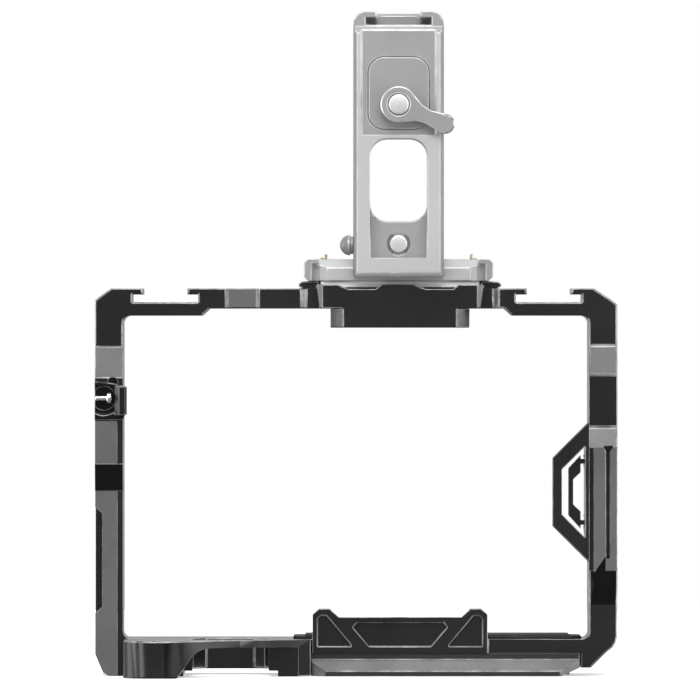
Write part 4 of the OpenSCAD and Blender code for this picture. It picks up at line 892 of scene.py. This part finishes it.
# Screws: name, body, node, guide points, head turned to face, then head radius, cone, length and socket in mm
FOOT_SCREWS = [(x, y, 0.4) for x in (-18.5, 45) for y in (-11, 11)]
MOUNT_SCREWS = [(x, y, FLANGE_TOP - 0.05) for x in (-13, 13) for y in (-7, 7)]
GUARD_SCREWS = [(52.0, -10.0, 52.0 + z) for z in (-9, 9)]
HANDLE_SCREWS = [(HANDLE_X + side * 9.8, -1.0, HANDLE_Z + 0.05) for side in (-1, 1)]
for name, body, node, places, turn, head, cone, length, flat in (
        ("dovetail_screws", "cage", "foot_screws", FOOT_SCREWS, DOWN, 3.0, 1.5, 8.6, 2.0),
        ("mount_block_screws", "cage", "top_mount_screws", MOUNT_SCREWS, UPRIGHT, 3.0, 1.5, 5.3, 2.0),
        ("guard_wing_screws", "cage", "guard_screws", GUARD_SCREWS, INWARDS, 2.4, 0.9, 4.8, 1.5),
        ("handle_base_screws", "handle", "handle_foot_screws", HANDLE_SCREWS, DOWN, 3.0, 1.5, 10.7, 2.0)):
    made = grown(name, SCREWS, places, {
        "Head Radius": head * MM, "Cone": cone * MM, "Length": length * MM, "Turn": turn,
        "Socket Radius": flat / math.sqrt(3) * MM, "Socket Depth": 0.55 * flat * MM}, BLACK_STEEL)
    place_piece(made, body, "black_steel", node)

# Tapped holes: name, body, slot, finish, middle points, bore radius and pitch, depth, axis turned to
for name, body, slot, finish, places, (radius, pitch), depth, turn in (
        ("bar_threads", "cage", "black_anodised", BLACK_EDGE_HIGHLIGHT,
         [(x, 0, 106.45) for x in (-50, -37)], SMALL_TAP, 5.7, UPRIGHT),
        ("grip_side_threads", "cage", "black_anodised", BLACK_EDGE_HIGHLIGHT,
         [(-81.1, 0, z) for z in (52.4, 66.4)], SMALL_TAP, 6.0, ALONG_X),
        ("port_side_threads", "cage", "black_anodised", BLACK_EDGE_HIGHLIGHT,
         [(57.25, 0, z) for z in (22.4, 80.4)], SMALL_TAP, 8.1, ALONG_X),
        ("tripod_thread_small", "cage", "grey_anodised", GREY_EDGE_HIGHLIGHT, [(20, 0, 3.25)], SMALL_TAP, 6.5, UPRIGHT),
        ("tripod_thread_large", "cage", "grey_anodised", GREY_EDGE_HIGHLIGHT, [(34, 0, 3.25)], LARGE_TAP, 6.5, UPRIGHT),
        ("grip_threads", "handle", "silver_anodised", SILVER_EDGE,
         [(HANDLE_X, y, 181.0) for y in (26, 52)], SMALL_TAP, 10.0, UPRIGHT)):
    turns = (depth - 0.8) / pitch
    made = grown(name, THREADS, places, {
        "Radius": (radius + 0.12) * MM, "Pitch": pitch * MM, "Turns": turns, "Ridge": 0.3 * pitch * MM,
        "Turn": turn}, finish, angle=50.0)
    place_piece(made, body, slot)

# Camera screw: head knurl and thread on the turned body
knurl = grown("camera_screw_knurl", KNURL, [(0, 0, 0)], {
    "Radius": 8.36 * MM, "Rib Radius": 0.22 * MM, "Height": 1.9 * MM, "Place": (0.0, 0.0, 3.2 * MM)},
    CAMERA_STEEL)
thread = grown("camera_screw_thread", THREADS, [(0, 0, 13.1)], {
    "Radius": 2.98 * MM, "Pitch": CAMERA_PITCH * MM, "Turns": 3.3, "Ridge": 0.36 * MM}, CAMERA_STEEL,
    angle=50.0)
place_piece(merged("camera_screw_cuts", [knurl, thread]), "camera_screw", "bright_steel")
BAIL = [(-5.4, 3.0, 1.1), (5.4, 3.0, 1.1), (5.4, -5.6, 1.1), (-5.4, -5.6, 1.1)]
bail = grown("camera_screw_bail", WIRE, BAIL, {"Wire Radius": 0.6 * MM, "Bend Radius": 1.2 * MM}, BRIGHT,
             edges=[(0, 1), (1, 2), (2, 3), (3, 0)])
place_piece(bail, "screw_ring", "bright_steel", "camera_screw_ring")



# Rubber: ribbed floor pads, plain lip pad, studded grip pads
PAD_TOP, GRIP_PAD_SIDE = 11.2, 12.06


def pad_ribs(middle, length):
    """Ribs along one floor pad: its middle and length, in mm."""
    return RIBS, {"Length": length * MM, "Spread": 25.6 * MM, "Count": 17, "Rib Radius": 0.42 * MM,
                  "Place": (middle * MM, 3.5 * MM, 11.24 * MM)}


def grip_studs(side):
    """Studs over the pad in one side of the grip."""
    return STUDS, {"Size X": 46.4 * MM, "Size Y": 11.4 * MM, "Count X": 24, "Count Y": 7, "Stud": 1.0 * MM,
                   "Height": 0.65 * MM, "Turn": (math.pi / 2, 0.0, side * math.pi / 2),
                   "Place": ((HANDLE_X + side * 12.05) * MM, 41.0 * MM, 172.95 * MM)}


for name, node, body, extra in (
        ("camera_bay_pads", "floor_pads", "cage", [pad_ribs(-19.8, 13.8), pad_ribs(30.35, 34.8)]),
        ("lip_ribbed_pad", "lip_pad", "cage", []),
        ("grip_side_pads", "grip_pads", "handle", [grip_studs(-1), grip_studs(1)])):
    core = NODES[node].data.copy()
    core.materials.clear()
    shape = bmesh.new()
    shape.from_mesh(core)
    bmesh.ops.remove_doubles(shape, verts=shape.verts, dist=WELD)
    for corner in shape.verts:
        if node == "floor_pads" and corner.co.z > 11 * MM:
            corner.co.z = PAD_TOP * MM
        if node == "grip_pads" and abs(corner.co.x - HANDLE_X * MM) > 12 * MM:
            corner.co.x = (HANDLE_X + math.copysign(GRIP_PAD_SIDE, corner.co.x - HANDLE_X * MM)) * MM
    bmesh.ops.dissolve_limit(shape, angle_limit=math.radians(1), verts=shape.verts, edges=shape.edges)
    bmesh.ops.bevel(shape, geom=list(shape.edges), offset=0.22 * MM, segments=3, affect="EDGES", profile=0.5)
    slab = finish_shape(name, shape, RUBBER, 40.0)
    cuts = [grown(name + "_cut", tree, [(0, 0, 0)], values, RUBBER) for tree, values in extra]
    place_piece(merged(name, [slab, *cuts]) if cuts else slab, body, "black_rubber", node)

# Turned small pieces
place_piece(turned("brass_lock_pins", [
    (0, 105.3), (1.05, 105.3), (1.5, 105.85), (1.5, 112.0), (2.12, 112.0), (2.3, 112.18), (2.3, 112.72),
    (2.12, 112.9), (1.5, 112.9), (1.5, 117.2), (1.32, 117.35), (1.32, 117.62), (1.5, 117.75), (1.5, 118.62),
    (1.44, 118.82), (1.3, 118.95), (1.1, 119.0), (0, 119.0)],
    [(HANDLE_X - PIN_SIDE, PIN_Y, 0), (HANDLE_X + PIN_SIDE, PIN_Y, 0)], BRASS),
    "lock_pins", "brass_pin", "lock_pins")
place_piece(turned("lever_pivot_screw", [
    (0, -12.0), (1.2, -12.0), (1.5, -11.7), (1.5, -1.0), (2.62, -1.0), (2.8, -0.85), (2.8, 0.08), (2.74, 0.2),
    (2.62, 0.27), (2.45, 0.3), (0, 0.3)], [(HANDLE_X, -22.9, LEVER_Z)], DISC, (0, -1, 0)),
    "handle", "bright_steel", "lever_screw")
place_piece(turned("post_clamp_screw", [
    (0, -7.6), (1.2, -7.6), (1.5, -7.3), (1.5, -0.9), (2.22, -0.9), (2.4, -0.72), (2.4, 0.38), (2.34, 0.5),
    (2.22, 0.57), (2.05, 0.6), (0, 0.6)], [(HANDLE_X, -16.8, POST_SCREW_Z)], DISC, (0, -1, 0)),
    "handle", "bright_steel", "post_screw")
place_piece(turned("strap_screw", [
    (0, -2.4), (0.52, -2.4), (0.7, -2.25), (0.7, 0.9), (1.4, 0.9), (1.55, 1.03), (1.55, 1.95), (1.42, 2.1),
    (0.95, 2.1), (0.8, 1.5), (0, 1.5)], [(-83.4, -19.8, 78.3)], BRIGHT, (1, 0, 0), 32),
    "cage", "bright_steel", "strap_clamp_screw")
place_piece(turned("key_holding_magnets", [
    (0, 6.7), (1.8, 6.7), (2.0, 6.9), (2.0, 8.1), (1.8, 8.3), (0, 8.3)],
    [(-67, 19, 0), (-50, 19, 0)], NICKEL), "cage", "magnet_plate", "key_magnets")

# The springs keep their own meshes
for node in ("pin_springs", "button_spring"):
    NODES[node].data.materials.clear()
    NODES[node].data.materials.append(BRIGHT)


# ---- Studio ----
def studio_floor():
    """Pale table, shown bright, and dimmer in what shines on the part."""
    material, tree, skin = finish_material("studio_floor")
    place = own_place(tree)
    tone = mixed(tree, noise(tree, place, 3.0, 2.0), (0.9, 0.9, 0.9), (0.94, 0.94, 0.94))
    ray = add(tree, "ShaderNodeLightPath").outputs
    seen = ray["Is Camera Ray"]
    tree.links.new(mixed(tree, seen, (0.3, 0.3, 0.3), tone), skin.inputs["Base Color"])
    skin.inputs["Roughness"].default_value = 0.8
    skin.inputs["Specular IOR Level"].default_value = 0.1
    shine = times(tree, seen, 0.5)
    glow = add(tree, "ShaderNodeEmission", {"Color": (1, 1, 1, 1), "Strength": shine})
    both = add(tree, "ShaderNodeAddShader", {0: skin.outputs[0], 1: glow.outputs[0]})
    clear = math_node(tree, "MAXIMUM", ray["Is Glossy Ray"], ray["Is Shadow Ray"])
    through = add(tree, "ShaderNodeBsdfTransparent").outputs[0]
    shown = add(tree, "ShaderNodeMixShader", {0: clear, 1: both.outputs[0], 2: through})
    tree.links.new(shown.outputs[0], tree.nodes["Material Output"].inputs["Surface"])
    half = 0.9
    mesh = bpy.data.meshes.new("studio_floor")
    corners = [(-half, -half, 0), (half, -half, 0), (half, half, 0), (-half, half, 0)]
    mesh.from_pydata(corners, [], [(0, 1, 2, 3)])
    mesh.materials.append(material)
    floor = new_object("studio_floor", mesh)
    floor.location.z = -0.00005


def softbox(name, at, size, watts):
    """A rectangular lamp that looks at the middle of the part."""
    light = bpy.data.lights.new(name, "AREA")
    light.shape = "RECTANGLE"
    light.size, light.size_y = size
    light.energy = watts
    lamp = bpy.data.objects.new(name, light)
    lamp.location = at
    lamp.rotation_euler = (Vector((0.0, 0.0, 0.09)) - Vector(at)).to_track_quat("-Z", "Y").to_euler()
    bpy.context.scene.collection.objects.link(lamp)


def studio_world():
    """White to the camera, and for the rest a soft room that is dim towards the front."""
    world = bpy.data.worlds.new("studio_room")
    bpy.context.scene.world = world
    world.use_nodes = True
    tree = world.node_tree
    tree.nodes.clear()
    way = add(tree, "ShaderNodeTexCoord").outputs["Generated"]
    axis = add(tree, "ShaderNodeSeparateXYZ", {0: way}).outputs
    back = ramp(tree, axis["Y"], -0.6, 0.3)
    up = ramp(tree, axis["Z"], 0.3, 0.9)
    glow = math_node(tree, "MAXIMUM", back, up)
    zenith = times(tree, ramp(tree, axis["Z"], 0.8, 0.97), 1.9)
    level = plus(tree, times(tree, glow, 0.3), 0.3)
    level = plus(tree, level, zenith)
    ray = add(tree, "ShaderNodeLightPath").outputs
    beside = ramp(tree, math_node(tree, "ABSOLUTE", axis["X"]), 0.84, 0.95, 0.0, 3.2)
    level = plus(tree, level, times(tree, beside, ray["Is Glossy Ray"]))
    strength = add(tree, "ShaderNodeMix", {0: ray["Is Camera Ray"], 2: level, 3: 1.0},
                   data_type="FLOAT").outputs[0]
    glowing = add(tree, "ShaderNodeBackground", {"Color": (1, 1, 1, 1), "Strength": strength})
    out = add(tree, "ShaderNodeOutputWorld")
    tree.links.new(glowing.outputs[0], out.inputs["Surface"])


def studio_camera():
    camera = bpy.data.cameras.new("studio_camera")
    camera.lens = 654.2
    camera.sensor_width = 36.0
    camera.clip_start, camera.clip_end = 0.05, 50.0
    holder = bpy.data.objects.new("studio_camera", camera)
    holder.location = (-0.0141, -3.6, 0.0919)
    holder.rotation_euler = (math.radians(90), 0, 0)
    bpy.context.scene.collection.objects.link(holder)
    bpy.context.scene.camera = holder


studio_floor()
studio_world()
studio_camera()
softbox("softbox_over_front", (0.0, -0.85, 0.8), (0.9, 0.42), 8.0)
softbox("softbox_left", (-0.75, -0.9, 0.1), (0.34, 1.1), 3.5)
softbox("softbox_right", (0.75, -0.9, 0.1), (0.34, 1.1), 3.5)
softbox("softbox_far_left", (-1.1, 0.1, 0.1), (0.34, 0.9), 2.0)
softbox("softbox_far_right", (1.1, 0.1, 0.1), (0.34, 0.9), 2.0)
softbox("softbox_behind", (0.0, 0.9, 0.9), (1.2, 0.6), 3.0)
bpy.context.scene.view_settings.view_transform = "Standard"
